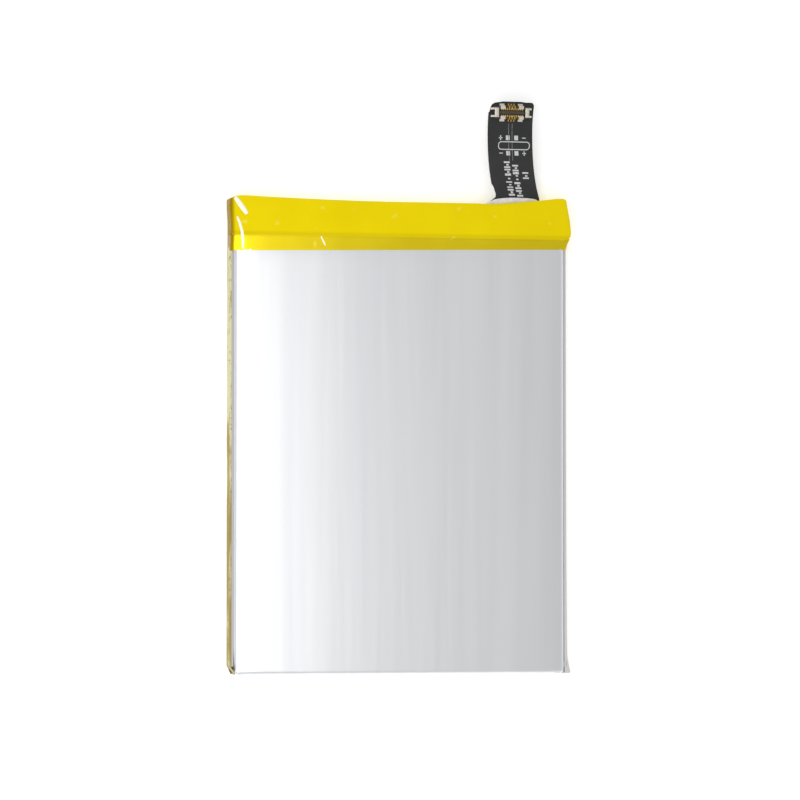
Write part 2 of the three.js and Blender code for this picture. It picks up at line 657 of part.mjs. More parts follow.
function connectorHousing() {
  const half = CONNECTOR_LENGTH / 2;
  const depth = CONNECTOR_WIDTH / 2;
  const inner = half - CONNECTOR_WALL;
  const innerDepth = depth - CONNECTOR_WALL;
  const rim = CONNECTOR_HEIGHT + OVERRUN;
  const block = solid(box(-half, half, -depth, depth, 0, CONNECTOR_HEIGHT));
  const well = solid(box(-inner, inner, -innerDepth, innerDepth, CONNECTOR_FLOOR, rim));
  const island = solid(box(ISLAND_END_ROOM - inner, inner - ISLAND_END_ROOM,
    ISLAND_SIDE_ROOM - innerDepth, innerDepth - ISLAND_SIDE_ROOM, 0, rim));
  return geometryOf(block.subtract(well.subtract(island)));
}

// A spring clip over the housing's wall, with a solder foot: its centre line seen from the side
function clipOutline(outside) {
  const inLeg = outside - CONNECTOR_WALL - GAP - CONTACT / 2;
  const outLeg = outside + GAP + CONTACT / 2;
  const crest = CONNECTOR_HEIGHT + GAP + CONTACT / 2;
  return strip(points(
    [inLeg, crest - CONTACT_DIP],
    [inLeg, crest],
    [outLeg, crest],
    [outLeg, CONTACT / 2],
    [outLeg + CONTACT_FOOT, CONTACT / 2]), CONTACT);
}

function contact(x, width, side) {
  const clip = alongX(clipOutline(CONNECTOR_WIDTH / 2), -width / 2, width / 2);
  return (side > 0 ? clip : clip.rotateZ(Math.PI)).translate(x, 0, 0);
}

function holdDown(side) {
  const half = HOLD_DOWN_WIDTH / 2;
  const clip = alongY(clipOutline(CONNECTOR_LENGTH / 2), -half, half);
  return side > 0 ? clip : clip.rotateZ(Math.PI);
}

function connector() {
  const group = new THREE.Group();
  group.add(named('connector_housing', connectorHousing(), mouldedBlack));
  group.add(named('hold_down_left', holdDown(-1), tinned));
  group.add(named('hold_down_right', holdDown(1), tinned));
  let power = 0;
  let signal = 0;
  [1, -1].forEach((side) => {
    [-1, 1].forEach((end) => {
      power += 1;
      const clip = contact(end * POWER_CONTACT_X, POWER_CONTACT_WIDTH, side);
      group.add(named(`power_contact_${power}`, clip, gold));
    });
    for (let index = 0; index < SIGNALS_PER_SIDE; index += 1) {
      signal += 1;
      const x = (index - (SIGNALS_PER_SIDE - 1) / 2) * SIGNAL_PITCH;
      group.add(named(`signal_contact_${signal}`, contact(x, SIGNAL_CONTACT_WIDTH, side), gold));
    }
  });
  const run = TAIL_LENGTH - CONNECTOR_FROM_END;
  group.position.set(tailCentre(run), HEAD_LENGTH - CONNECTOR_FROM_END, CONNECTOR_Z);
  return group;
}

// Each stretch is a group at its bend line, turned up from the stretch before it
function tail() {
  const lower = new THREE.Group();
  lower.position.set(0, EXIT_Y, FLEX_Z);
  lower.rotation.x = THREE.MathUtils.degToRad(LOWER_SLOPE);
  lower.add(named('tail_lower', plate(tailStretch(0, FLEX_GAP, LOWER_LENGTH - FLEX_GAP),
    -FLEX / 2, FLEX / 2), coverlay));

  const upper = new THREE.Group();
  upper.position.y = LOWER_LENGTH;
  upper.rotation.x = THREE.MathUtils.degToRad(UPPER_SLOPE - LOWER_SLOPE);
  upper.add(named('tail_upper', plate(tailStretch(LOWER_LENGTH, FLEX_GAP, UPPER_LENGTH - FLEX_GAP),
    -FLEX / 2, FLEX / 2), coverlay));
  lower.add(upper);

  const head = new THREE.Group();
  head.position.y = UPPER_LENGTH;
  head.rotation.x = THREE.MathUtils.degToRad(HEAD_SLOPE - UPPER_SLOPE);
  head.add(named('tail_head', plate(headOutline(0), -FLEX / 2, FLEX / 2), coverlay));
  const backing = -FLEX / 2 - GAP / 2;
  head.add(named('head_stiffener',
    plate(headOutline(STIFFENER_INSET), backing - STIFFENER, backing), stiffenerBlack));
  head.add(connector());
  upper.add(head);
  return lower;
}

// ---------- The cell ----------

const cell = new THREE.Group();
cell.add(...electrodeRoll());
cell.add(...tabSet('positive', POSITIVE_TAB_X, aluminium));
cell.add(...tabSet('negative', NEGATIVE_TAB_X, nickel));
cell.add(named('pouch_cup', pouchCup(), laminate));
cell.add(named('pouch_back', pouchBack(), laminate));
cell.add(named('left_side_tape', sideTapeStrip(-1), sideTape));
cell.add(named('right_side_tape', sideTapeStrip(1), sideTape));
cell.add(...protectionBoard());
cell.add(named('top_wrap_tape', topWrap(), wrapTape));
cell.add(named('tail_root', tailRoot(), coverlay));
cell.add(tail());

export default cell;
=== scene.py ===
# %% [markdown]
# # A slim pouch cell with a flexible tail
# A lithium polymer cell of the kind fitted in phones is a flat electrode roll in a pouch of
# aluminium laminate. Its side seals are folded up and taped, a yellow polyimide tape is
# wrapped round the end with the protection board, and a black flexible circuit leaves that
# end and carries a small plug-in connector. The frame below is the finished design: sizes,
# places and bending lines. This lesson only dresses it, so the main places come from the frame,
# and the small shapes that it doesn't hold are given here in millimetres.

# %% Load the fixed frame
import json
import math

import bmesh
import bpy
from mathutils import Matrix, Vector
from mathutils.geometry import interpolate_bezier


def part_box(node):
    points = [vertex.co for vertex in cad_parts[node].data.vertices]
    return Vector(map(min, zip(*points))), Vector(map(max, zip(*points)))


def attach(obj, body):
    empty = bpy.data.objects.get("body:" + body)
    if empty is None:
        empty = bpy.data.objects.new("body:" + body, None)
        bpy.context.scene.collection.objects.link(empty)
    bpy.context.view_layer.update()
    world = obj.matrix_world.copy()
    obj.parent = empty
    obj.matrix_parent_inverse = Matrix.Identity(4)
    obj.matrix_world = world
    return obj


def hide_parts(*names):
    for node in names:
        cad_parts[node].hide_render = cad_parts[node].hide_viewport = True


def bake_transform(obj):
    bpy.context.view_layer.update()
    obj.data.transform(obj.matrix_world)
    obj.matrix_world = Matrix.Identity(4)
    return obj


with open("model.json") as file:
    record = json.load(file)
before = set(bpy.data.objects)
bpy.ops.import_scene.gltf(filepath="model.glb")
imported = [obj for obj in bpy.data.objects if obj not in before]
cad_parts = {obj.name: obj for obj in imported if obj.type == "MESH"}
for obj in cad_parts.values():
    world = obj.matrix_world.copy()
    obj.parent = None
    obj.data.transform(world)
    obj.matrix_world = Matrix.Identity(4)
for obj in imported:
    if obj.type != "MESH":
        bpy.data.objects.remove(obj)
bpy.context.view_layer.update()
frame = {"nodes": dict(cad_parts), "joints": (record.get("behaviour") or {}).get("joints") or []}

MM = 0.001

# %% [markdown]
# ## Places
# The corners of the CAD pieces give the places of everything that is drawn here. A few small
# sizes, such as how far the wrap laps onto the face, aren't corners of any piece, so they are
# named next to the places that they lead to.

# %% Places taken from the frame
cup_low, cup_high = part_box("pouch_cup")
back_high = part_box("pouch_back")[1]
left_tape_low, left_tape_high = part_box("left_side_tape")
wrap_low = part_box("top_wrap_tape")[0]
root_low, root_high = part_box("tail_root")
hinges = {joint["name"]: Vector(joint["pos_m"]) for joint in frame["joints"]}

HALF_WIDTH = -left_tape_low.x
BOTTOM = cup_low.y
FACE = cup_high.z
SEAL_TOP = back_high.y
WING_TOP = back_high.z
WRAP_BEYOND_SEAL = 2.3 * MM
TOP = SEAL_TOP + WRAP_BEYOND_SEAL
STRIP_LAP = 1.9 * MM
CUP_TOP = wrap_low.y + STRIP_LAP
RIM = 0.1 * MM
FILM = 0.12 * MM
CUP_INSET = 0.48 * MM
CUP_HALF = HALF_WIDTH - CUP_INSET
# How far in from a side its points are looked for, and how close the points of one row are
SIDE_REACH = 0.1 * MM
SAME_ROW = 0.001 * MM
print("cell", round(2 * HALF_WIDTH / MM, 2), "by", round((TOP - BOTTOM) / MM, 2), "mm")

# %% [markdown]
# ## Camera, floor and light
# A cell like this is catalogued lying flat, seen from almost straight above through a long
# lens, a little from its left so that the taped side seal shows. A long lens far away keeps
# the edges parallel. The light is what makes foil look like foil: one big softbox hangs over
# the left, so the left of the face mirrors it white and the right falls off to grey.

# %% Camera
VIEW_WIDTH = 143.8 * MM
LENS = 200
SENSOR = 36
VIEW_DEPTH = 10
LEAN_LEFT = math.radians(13)
LEAN_DOWN = math.radians(2)
AIM = Vector((0.29 * MM, 6.4 * MM, 0.5 * FACE))

camera_data = bpy.data.cameras.new("camera")
camera_data.lens = LENS
camera_data.sensor_width = SENSOR
camera_data.clip_end = VIEW_DEPTH
camera = bpy.data.objects.new("camera", camera_data)
bpy.context.scene.collection.objects.link(camera)
toward_camera = Vector((-math.sin(LEAN_LEFT), -math.sin(LEAN_DOWN),
                        math.cos(LEAN_LEFT))).normalized()
camera.location = AIM + toward_camera * VIEW_WIDTH * LENS / SENSOR
rightward = Vector((0, 1, 0)).cross(toward_camera).normalized()
upward = toward_camera.cross(rightward)
camera.rotation_euler = Matrix((rightward, upward, toward_camera)).transposed().to_euler()
bpy.context.scene.camera = camera
bpy.context.scene.view_settings.view_transform = "Standard"
print("camera", round(camera.location.z, 2), "m up")


# %% Colours and nodes
def srgb(code):
    """A hex colour, as a painter picks it, in the linear light that Blender works in."""
    channels = [int(code[start:start + 2], 16) / 255 for start in (1, 3, 5)]
    linear = [c / 12.92 if c <= 0.04045 else ((c + 0.055) / 1.055) ** 2.4 for c in channels]
    return (*linear, 1)


def output(source):
    """A socket as it is, or the first output that a node shows."""
    if isinstance(source, bpy.types.NodeSocket):
        return source
    return next(socket for socket in source.outputs if socket.enabled)


def add(tree, kind, inputs=None, **settings):
    """Adds a node with its settings. An input is a value, or the node or output feeding it."""
    made = tree.nodes.new("ShaderNode" + kind)
    for name, value in settings.items():
        setattr(made, name, value)
    for name, value in (inputs or {}).items():
        if isinstance(value, (bpy.types.NodeSocket, bpy.types.Node)):
            tree.links.new(output(value), made.inputs[name])
        else:
            made.inputs[name].default_value = value
    return made


def drive(tree, shader, **sources):
    """Feeds sockets of a shader from nodes, in place of their fixed values."""
    for socket, source in sources.items():
        tree.links.new(output(source), shader.inputs[socket.replace("_", " ")])


# The inputs of a Mix node that mixes colours, and the settings that many nodes share
FACTOR, FIRST, SECOND = 0, 6, 7
COLOUR = {"data_type": "RGBA"}
SMOOTH = {"interpolation_type": "SMOOTHSTEP"}

# %% Light from all round: dimmer overhead than near the horizon
OVERHEAD = 0.595
HORIZON = 0.78

world = bpy.data.worlds.new("studio")
bpy.context.scene.world = world
world.use_nodes = True
sky = world.node_tree
direction = add(sky, "SeparateXYZ", {"Vector": add(sky, "TexCoord").outputs["Generated"]})
fall = add(sky, "MapRange", {"Value": direction.outputs["Z"], "From Min": 0.2, "From Max": 0.9,
                             "To Min": HORIZON, "To Max": OVERHEAD}, **SMOOTH)
sky.nodes["Background"].inputs["Color"].default_value = (1, 1, 1, 1)
drive(sky, sky.nodes["Background"], Strength=fall)


# %% Softbox
def softbox(name, place, aim, width, height, power):
    """A rectangular lamp that lights but isn't seen, in metres and watts."""
    data = bpy.data.lights.new(name, "AREA")
    data.shape = "RECTANGLE"
    data.size = width
    data.size_y = height
    data.energy = power
    lamp = bpy.data.objects.new(name, data)
    bpy.context.scene.collection.objects.link(lamp)
    lamp.location = place
    lamp.rotation_euler = (Vector(place) - Vector(aim)).to_track_quat("Z", "Y").to_euler()
    lamp.visible_camera = False


softbox("left_softbox", place=(-0.073, -0.055, 0.17), aim=(-0.073, -0.055, 0),
        width=0.14, height=0.25, power=0.214)

# %% Floor
FLOOR_SIZE = 3
FLOOR_GAP = 0.02 * MM
FLOOR_GLOW = 0.34

bpy.ops.object.select_all(action="DESELECT")
bpy.ops.mesh.primitive_plane_add(size=FLOOR_SIZE, location=(0, 0, -FLOOR_GAP))
floor = bpy.context.object
floor.name = "floor"
card = bpy.data.materials.new("white card")
card.use_nodes = True
card_shader = card.node_tree.nodes["Principled BSDF"]
card_shader.inputs["Base Color"].default_value = srgb("#f7f7f7")
card_shader.inputs["Roughness"].default_value = 0.9
card_shader.inputs["Specular IOR Level"].default_value = 0.1
card_shader.inputs["Emission Color"].default_value = (1, 1, 1, 1)
card_shader.inputs["Emission Strength"].default_value = FLOOR_GLOW
floor.data.materials.append(card)
print("floor", FLOOR_SIZE, "m wide")


# %% [markdown]
# ## Finishes
# Each finish starts from what the real material is and how its surface was made. All of them
# read Object coordinates, which are metres in the frame, so a pattern's scale is one over its
# real size. A noise of scale 1000 therefore has features about a millimetre wide.

# %% The start that every finish shares
def finish(name, **sockets):
    """A new material with the values of its shader set: its tree, shader and coordinates."""
    made = bpy.data.materials.new(name)
    made.use_nodes = True
    tree = made.node_tree
    shader = tree.nodes["Principled BSDF"]
    for socket, value in sockets.items():
        shader.inputs[socket.replace("_", " ")].default_value = value
    return made, tree, shader, add(tree, "TexCoord").outputs["Object"]


def per_mm(size):
    """The scale that gives a pattern features of this many millimetres."""
    return 1 / (size * MM)


# %% [markdown]
# ** Aluminium laminate.** Pouch foil is aluminium under a skin of nylon, rolled, so it shines
# softly and its reflection is drawn out in long faint streaks along the rolling direction,
# which here is the cell's length. The streaks bend the reflection a little as a relief and a
# change of gloss. Their lighter and darker tone in the colour is painted reflection: bands of
# light along the cell. Out on the welded side seals the foil is wrinkled and dull.

# %% Aluminium laminate
SHEEN = 0.93
SEAL_STARTS, SEAL_FULL = 30.2 * MM, 30.5 * MM

laminate, tree, shader, place = finish("rolled aluminium laminate", Metallic=SHEEN)
along_roll = add(tree, "Mapping", {"Vector": place, "Scale": (1, 0.03, 1)})
streaks = add(tree, "TexNoise", {"Vector": along_roll, "Scale": per_mm(6), "Detail": 3})
fine_streaks = add(tree, "TexNoise", {"Vector": along_roll, "Scale": per_mm(1.1), "Detail": 2})
grain = add(tree, "TexNoise", {"Vector": place, "Scale": per_mm(0.25), "Detail": 2})
across = add(tree, "Mapping", {"Vector": place, "Rotation": (0, 0, math.radians(28)),
                               "Scale": (1, 0.02, 1)})
scratch = add(tree, "TexNoise", {"Vector": across, "Scale": per_mm(0.7), "Detail": 1})
scratched = add(tree, "MapRange", {"Value": scratch, "From Min": 0.72,
                                   "From Max": 0.82, "To Max": 0.3}, **SMOOTH)
# The streak tone mixed into the colour is painted reflection: bands of light along the cell.
tone = add(tree, "Mix", {FACTOR: streaks, FIRST: srgb("#dfe2e5"),
                         SECOND: srgb("#f0f1f3")}, **COLOUR)
worn = add(tree, "Mix", {FACTOR: scratched, FIRST: tone,
                         SECOND: srgb("#f4f4f6")}, **COLOUR)
sideways = add(tree, "SeparateXYZ", {"Vector": place})
outward = add(tree, "Math", {0: sideways.outputs["X"]}, operation="ABSOLUTE")
on_seal = add(tree, "MapRange", {"Value": outward, "From Min": SEAL_STARTS,
                                 "From Max": SEAL_FULL}, **SMOOTH)
sealed = add(tree, "Mix", {FACTOR: on_seal, FIRST: worn,
                           SECOND: srgb("#b9b8bb")}, **COLOUR)
gloss = add(tree, "MapRange", {"Value": fine_streaks, "To Min": 0.30,
                               "To Max": 0.38})
wave = add(tree, "Bump", {"Height": streaks, "Strength": 0.5,
                          "Distance": 0.05 * MM})
rolled = add(tree, "Bump", {"Height": grain, "Strength": 0.25,
                            "Distance": 0.004 * MM, "Normal": wave})
dulled = add(tree, "MapRange", {"Value": on_seal, "To Min": SHEEN,
                                "To Max": 0.15})
drive(tree, shader, Base_Color=sealed, Metallic=dulled, Roughness=gloss, Normal=rolled)

# %% [markdown]
# ** Wrap tape.** Polyimide tape with a yellow pigment. Over the board it hides what is below
# and is a full yellow. Where its edge laps onto the foil it is pressed flat, and the metal
# shines through it, so there it reflects like a yellow metal. Between the two is the crease,
# and a darker band just above it is painted shade. The darker tone at the tucked left end is
# painted shade too. Small pale spots are air caught in the glue.

# %% Wrap tape
CREASE = CUP_TOP + 0.1 * MM
CREASE_HALF = 0.12 * MM
# Where the painted shade at the wrap's left end is full, and where it has faded out
LEFT_WALL, LEFT_ROUND = -30.95 * MM, -30.1 * MM

wrap_tape, tree, shader, place = finish("yellow polyimide tape", Specular_IOR_Level=0.04)
height = add(tree, "SeparateXYZ", {"Vector": place})
on_foil = add(tree, "MapRange", {"Value": height.outputs["Y"], "From Min": CREASE - CREASE_HALF,
                                 "From Max": CREASE + CREASE_HALF, "To Min": 1, "To Max": 0},
              **SMOOTH)
cloud = add(tree, "TexNoise", {"Vector": place, "Scale": per_mm(9), "Detail": 3})
bubble = add(tree, "TexNoise", {"Vector": place, "Scale": per_mm(1.6), "Detail": 1})
bubbles = add(tree, "MapRange", {"Value": bubble, "From Min": 0.70,
                                 "From Max": 0.82, "To Max": 0.4}, **SMOOTH)
block = add(tree, "Mix", {FACTOR: cloud, FIRST: srgb("#e4cc03"),
                          SECOND: srgb("#f3dc09")}, **COLOUR)
film = add(tree, "Mix", {FACTOR: cloud, FIRST: srgb("#dfc51a"),
                         SECOND: srgb("#ebd526")}, **COLOUR)
laid = add(tree, "Mix", {FACTOR: on_foil, FIRST: block,
                         SECOND: film}, **COLOUR)
# A darker band just above the crease is painted shade, where the tape steps down onto the foil.
off_crease = add(tree, "Math", {0: height.outputs["Y"], 1: CREASE + 0.28 * MM},
                 operation="SUBTRACT")
crease_painted_shade = add(tree, "MapRange", {"Value": add(tree, "Math", {0: off_crease},
                                              operation="ABSOLUTE"),
                                 "From Min": 0, "From Max": 0.75 * MM,
                                 "To Min": 0.34, "To Max": 0},
              **SMOOTH)
shaded = add(tree, "Mix", {FACTOR: crease_painted_shade, FIRST: laid,
                           SECOND: srgb("#b79e0a")}, **COLOUR)
# The wrap's tucked left end is painted darker: painted shade on that end.
left_end_shade_mask = add(tree, "MapRange", {"Value": height.outputs["X"], "From Min": LEFT_WALL,
                                 "From Max": LEFT_ROUND, "To Min": 0.95, "To Max": 0}, **SMOOTH)
left_end_shaded = add(tree, "Mix", {FACTOR: left_end_shade_mask, FIRST: shaded,
                           SECOND: srgb("#927500")}, **COLOUR)
aired = add(tree, "Mix", {FACTOR: bubbles, FIRST: left_end_shaded,
                          SECOND: srgb("#f7e86a")}, **COLOUR)
metal = add(tree, "Math", {0: on_foil, 1: 0.85}, operation="MULTIPLY")
gloss = add(tree, "MapRange", {"Value": cloud, "To Min": 0.28, "To Max": 0.40})
ripple = add(tree, "Bump", {"Height": cloud, "Strength": 0.6,
                            "Distance": 0.12 * MM})
blister = add(tree, "Bump", {"Height": bubbles, "Strength": 0.6,
                             "Distance": 0.03 * MM, "Normal": ripple})
drive(tree, shader, Base_Color=aired, Metallic=metal, Roughness=gloss, Normal=blister)

# %% [markdown]
# **Side tape.** The same kind of tape, but thinner and paler, over foil. Where its glue wets
# the seal it is a strong yellow, and where air lies under it, it is almost beige, in long
# patches along the seal.

# %% Side tape
side_tape, tree, shader, place = finish("thin yellow tape over foil", Metallic=0.1,
                                        Roughness=0.38, Specular_IOR_Level=0.1)
side = add(tree, "SeparateXYZ", {"Vector": place})
stretched = add(tree, "Mapping", {"Vector": place, "Scale": (1, 0.35, 1)})
wet = add(tree, "TexNoise", {"Vector": stretched, "Scale": per_mm(3.2), "Detail": 4})
pressed = add(tree, "MapRange", {"Value": side.outputs["Y"], "From Min": -34 * MM,
                                 "From Max": 8 * MM, "To Min": 0.16, "To Max": -0.06})
wetness = add(tree, "Math", {0: wet, 1: pressed},
              operation="ADD")
wetted = add(tree, "MapRange", {"Value": wetness, "From Min": 0.40,
                                "From Max": 0.64}, **SMOOTH)
speck = add(tree, "TexNoise", {"Vector": place, "Scale": per_mm(0.8), "Detail": 2})
specks = add(tree, "MapRange", {"Value": speck, "From Min": 0.56, "From Max": 0.74})
tint = add(tree, "Mix", {FACTOR: wetted, FIRST: srgb("#cfca9c"),
                         SECOND: srgb("#947f16")}, **COLOUR)
soiled = add(tree, "Mix", {FACTOR: specks, FIRST: tint,
                           SECOND: srgb("#857032")}, **COLOUR)
clear = add(tree, "MapRange", {"Value": side.outputs["X"], "From Min": -MM, "From Max": MM,
                               "To Min": 0, "To Max": 0.85})
paled = add(tree, "Mix", {FACTOR: clear, FIRST: soiled,
                          SECOND: srgb("#d2d0cb")}, **COLOUR)
pucker = add(tree, "Bump", {"Height": wet, "Strength": 0.5,
                            "Distance": 0.08 * MM})
drive(tree, shader, Base_Color=paled, Normal=pucker)

# %% [markdown]
# **Pleats.** Where the wrap is tucked round a corner the tape is stretched over a sharp fold.
# The middle of each pleat is painted nearly white as a highlight, and it breaks up into yellow
# towards its sides.

# %% Tape on the folds, with a painted highlight
pleat_highlight_tape, tree, shader, place = finish("tape on a fold with a painted highlight", Roughness=0.2)
crackle = add(tree, "TexNoise", {"Vector": place, "Scale": per_mm(0.35), "Detail": 3})
# The near-white along the middle of each fold is a painted highlight.
painted_highlight_mask = add(tree, "MapRange", {"Value": crackle, "From Min": 0.26,
                                  "From Max": 0.44}, **SMOOTH)
fold_highlight_tone = add(tree, "Mix", {FACTOR: painted_highlight_mask, FIRST: srgb("#f5ea70"),
                              SECOND: srgb("#fffff4")}, **COLOUR)
drive(tree, shader, Base_Color=fold_highlight_tone)

# %% [markdown]
# **Coverlay.** A flexible circuit is copper between polyimide films. This one has a black
# matt coverlay with a slight orange peel. Its copper tracks are strips of their own, below.

# %% Coverlay
coverlay, tree, shader, place = finish("black polyimide coverlay", Specular_IOR_Level=0.5)
peel = add(tree, "TexNoise", {"Vector": place, "Scale": per_mm(0.22), "Detail": 2})
dust = add(tree, "TexNoise", {"Vector": place, "Scale": per_mm(2.4), "Detail": 4})
black = add(tree, "Mix", {FACTOR: dust, FIRST: srgb("#141516"),
                          SECOND: srgb("#232425")}, **COLOUR)
matt = add(tree, "MapRange", {"Value": dust, "To Min": 0.36, "To Max": 0.50})
peeled = add(tree, "Bump", {"Height": peel, "Strength": 0.3,
                            "Distance": 0.01 * MM})
drive(tree, shader, Base_Color=black, Roughness=matt, Normal=peeled)


# %% [markdown]
# **Plain two-tone finishes.** Paper, foam, coated foils and moulded parts differ in colour,
# gloss and grain, but each is a ground with a second tone in its grain and a relief as fine.
# One function makes them, and each call below says what the material is.

# %% Two-tone finishes
def two_tone(name, dark, light, grain_size, relief, stretch=(1, 1, 1), **sockets):
    """A ground of two close tones in grains of a size, with relief of a depth, both in mm."""
    made, tree, shader, place = finish(name, **sockets)
    drawn = add(tree, "Mapping", {"Vector": place, "Scale": stretch})
    grain = add(tree, "TexNoise", {"Vector": drawn, "Scale": per_mm(grain_size), "Detail": 3})
    spread = add(tree, "MapRange", {"Value": grain, "From Min": 0.35,
                                    "From Max": 0.65}, **SMOOTH)
    tone = add(tree, "Mix", {FACTOR: spread, FIRST: srgb(dark),
                             SECOND: srgb(light)}, **COLOUR)
    bump = add(tree, "Bump", {"Height": grain, "Strength": 0.6,
                              "Distance": relief * MM})
    drive(tree, shader, Base_Color=tone, Normal=bump)
    return made


ALONG_CELL = (1, 0.05, 1)
ink = two_tone("white silkscreen ink", "#b4b4b6", "#dcdcdd", 0.12, 0.01, Roughness=0.6)
faint_ink = two_tone("tracks under the coverlay", "#5e5f61", "#85868a", 0.2, 0.01, Roughness=0.45)
# The root bead's white is a painted highlight: it stands for the shine on the ribbon's bend.
root_highlight_white = two_tone("white bead standing for a highlight", "#dcdce0", "#efebe8", 0.8, 0.02, Roughness=0.35)
glass_board = two_tone("black glass epoxy stiffener", "#17181a", "#26272a", 0.3, 0.02,
                       Roughness=0.6)
moulding = two_tone("brown-black moulded polymer", "#2b2622", "#4a423a", 0.15, 0.005,
                    Roughness=0.5)
gold = two_tone("gold plated contact", "#c79a35", "#e6c56c", 0.15, 0.004, Metallic=1,
                Roughness=0.3)
tinned = two_tone("tinned steel nail", "#cfc6b4", "#ece6da", 0.2, 0.006, Metallic=0.7,
                  Roughness=0.42)
separator = two_tone("porous separator film", "#eceeec", "#fafbf9", 0.05, 0.002, Roughness=0.55)
graphite = two_tone("graphite coating on copper", "#2b2826", "#413c39", 0.06, 0.006,
                    Roughness=0.85)
oxide = two_tone("lithium oxide coating on aluminium", "#191a1f", "#2c2d34", 0.05, 0.005,
                 Roughness=0.8)
roll_tape = two_tone("green end tape", "#25804c", "#3b9b66", 2, 0.01, Roughness=0.4)
aluminium = two_tone("rolled aluminium tab", "#cfd1d3", "#dfe1e3", 0.4, 0.003, ALONG_CELL,
                     Metallic=1, Roughness=0.32)
nickel = two_tone("rolled nickel strip", "#aca89e", "#c4c0b6", 0.4, 0.003, ALONG_CELL,
                  Metallic=1, Roughness=0.34)
sealant = two_tone("modified polypropylene film", "#dedac9", "#f0ede2", 1, 0.01, Roughness=0.5)
paper = two_tone("calendered insulating paper", "#c0b596", "#d8cfb8", 0.5, 0.012, (1, 0.3, 1),
                 Roughness=0.9)
foam = two_tone("closed cell foam", "#2c2c2e", "#4a4a4d", 0.25, 0.06, Roughness=0.95)
board = two_tone("green solder mask over glass epoxy", "#164a2b", "#236a40", 1.2, 0.01,
                 Roughness=0.4)
chip = two_tone("black moulded epoxy", "#161618", "#252528", 0.08, 0.006, Roughness=0.55)
fuse_body = two_tone("green glazed fuse body", "#36623f", "#487c54", 0.4, 0.006, Roughness=0.35)
dark_ceramic = two_tone("dark glazed ceramic", "#17191d", "#2a2c31", 0.2, 0.004, Roughness=0.35)
tan_ceramic = two_tone("tan fired ceramic", "#977a53", "#b89a70", 0.1, 0.006, Roughness=0.5)
print(len(bpy.data.materials), "finishes")


# %% [markdown]
# ## Working in edit mode
# Every piece below is made as by hand: a primitive at its size, then extrusions, bevels and
# cuts. An operator acts on what is selected, so one helper opens a piece with only the wanted
# faces, edges or points selected, by a test of their place and direction.

# %% Helpers for modelling
def nothing_selected():
    """Leaves edit mode and deselects every object."""
    if bpy.context.object and bpy.context.object.mode == "EDIT":
        bpy.ops.object.mode_set(mode="OBJECT")
    bpy.ops.object.select_all(action="DESELECT")


def objects_only(piece):
    """Leaves edit mode, with this piece the only one selected."""
    nothing_selected()
    bpy.context.view_layer.objects.active = piece
    piece.select_set(True)


def pick(piece, kind, test):
    """Opens a piece in edit mode with only what passes test(place, direction) selected."""
    objects_only(piece)
    bpy.ops.object.mode_set(mode="EDIT")
    bpy.ops.mesh.select_mode(type=kind)
    bpy.ops.mesh.select_all(action="DESELECT")
    mesh = bmesh.from_edit_mesh(piece.data)
    for item in {"VERT": mesh.verts, "EDGE": mesh.edges, "FACE": mesh.faces}[kind]:
        corners = [item.co] if kind == "VERT" else [corner.co for corner in item.verts]
        middle = sum(corners, Vector()) / len(corners)
        facing = (corners[1] - corners[0]).normalized() if kind == "EDGE" else item.normal
        if test(middle, facing):
            item.select_set(True)
    mesh.select_flush_mode()
    bmesh.update_edit_mesh(piece.data)


def start_block(name, low, high):
    """A cube primitive between two corners."""
    low, high = Vector(low), Vector(high)
    nothing_selected()
    bpy.ops.mesh.primitive_cube_add(size=1, location=(low + high) / 2, scale=high - low)
    return settle(name)


def start_sheet(name, low, high, columns=1, rows=1):
    """A flat grid primitive between two corners at the same height."""
    low, high = Vector(low), Vector(high)
    nothing_selected()
    bpy.ops.mesh.primitive_grid_add(x_subdivisions=columns, y_subdivisions=rows, size=1,
                                    location=(low + high) / 2)
    bpy.context.object.scale = (high.x - low.x, high.y - low.y, 1)
    return settle(name)


def settle(name):
    """Names the newest primitive and moves its place and size into its mesh."""
    piece = bpy.context.object
    piece.name = name
    piece.data.name = name
    bpy.ops.object.transform_apply(location=True, rotation=True, scale=True)
    return piece


def cut(piece, axis, places):
    """Cuts a piece across at places along an axis, so that it can be shaped there."""
    for at in places:
        pick(piece, "FACE", lambda middle, facing: True)
        normal = [float(index == axis) for index in range(3)]
        bpy.ops.mesh.bisect(plane_co=[at * share for share in normal], plane_no=normal)
    objects_only(piece)


def move(piece, test, by):
    """Moves the points that pass the test."""
    pick(piece, "VERT", test)
    bpy.ops.transform.translate(value=by)


def places_of(piece, axis, digits=7):
    """Where along an axis a piece has points, in order."""
    return sorted({round(vertex.co[axis], digits) for vertex in piece.data.vertices})


def apply_modifier(piece, kind, **settings):
    """Adds a modifier with its settings and makes it part of the mesh."""
    objects_only(piece)
    modifier = piece.modifiers.new(kind.lower(), kind)
    for name, value in settings.items():
        setattr(modifier, name, value)
    bpy.ops.object.modifier_apply(modifier=modifier.name)


def dress(piece, material, angle=40):
    """Gives a finished piece its material and smooth shading below an angle."""
    objects_only(piece)
    bpy.ops.object.shade_smooth_by_angle(angle=math.radians(angle))
    piece.data.materials.clear()
    piece.data.materials.append(material)
    print(piece.name, len(piece.data.polygons), "faces")


def near(value, place, reach=0.02 * MM):
    """Whether two places along an axis are the same, to within a reach."""
    return abs(value - place) < reach


# %% [markdown]
# ## Pouch front
# The front half of the pouch is foil drawn cold into a cup. Its long shoulders are wide and
# soft and its ends are tighter. The roll inside has round sides, so the face is flat over
# the roll and falls away a little towards both shoulders: that faint fall is where the
# reflection steps from white to grey. Its left foot is cut to a slant. A cube is bevelled
# twice, rows of points are lowered, and the rows at that foot are moved in. The bottom is
# open and hidden by the back.

# %% Pouch front
SHOULDER = 1.1 * MM
END_SHOULDER = 0.8 * MM
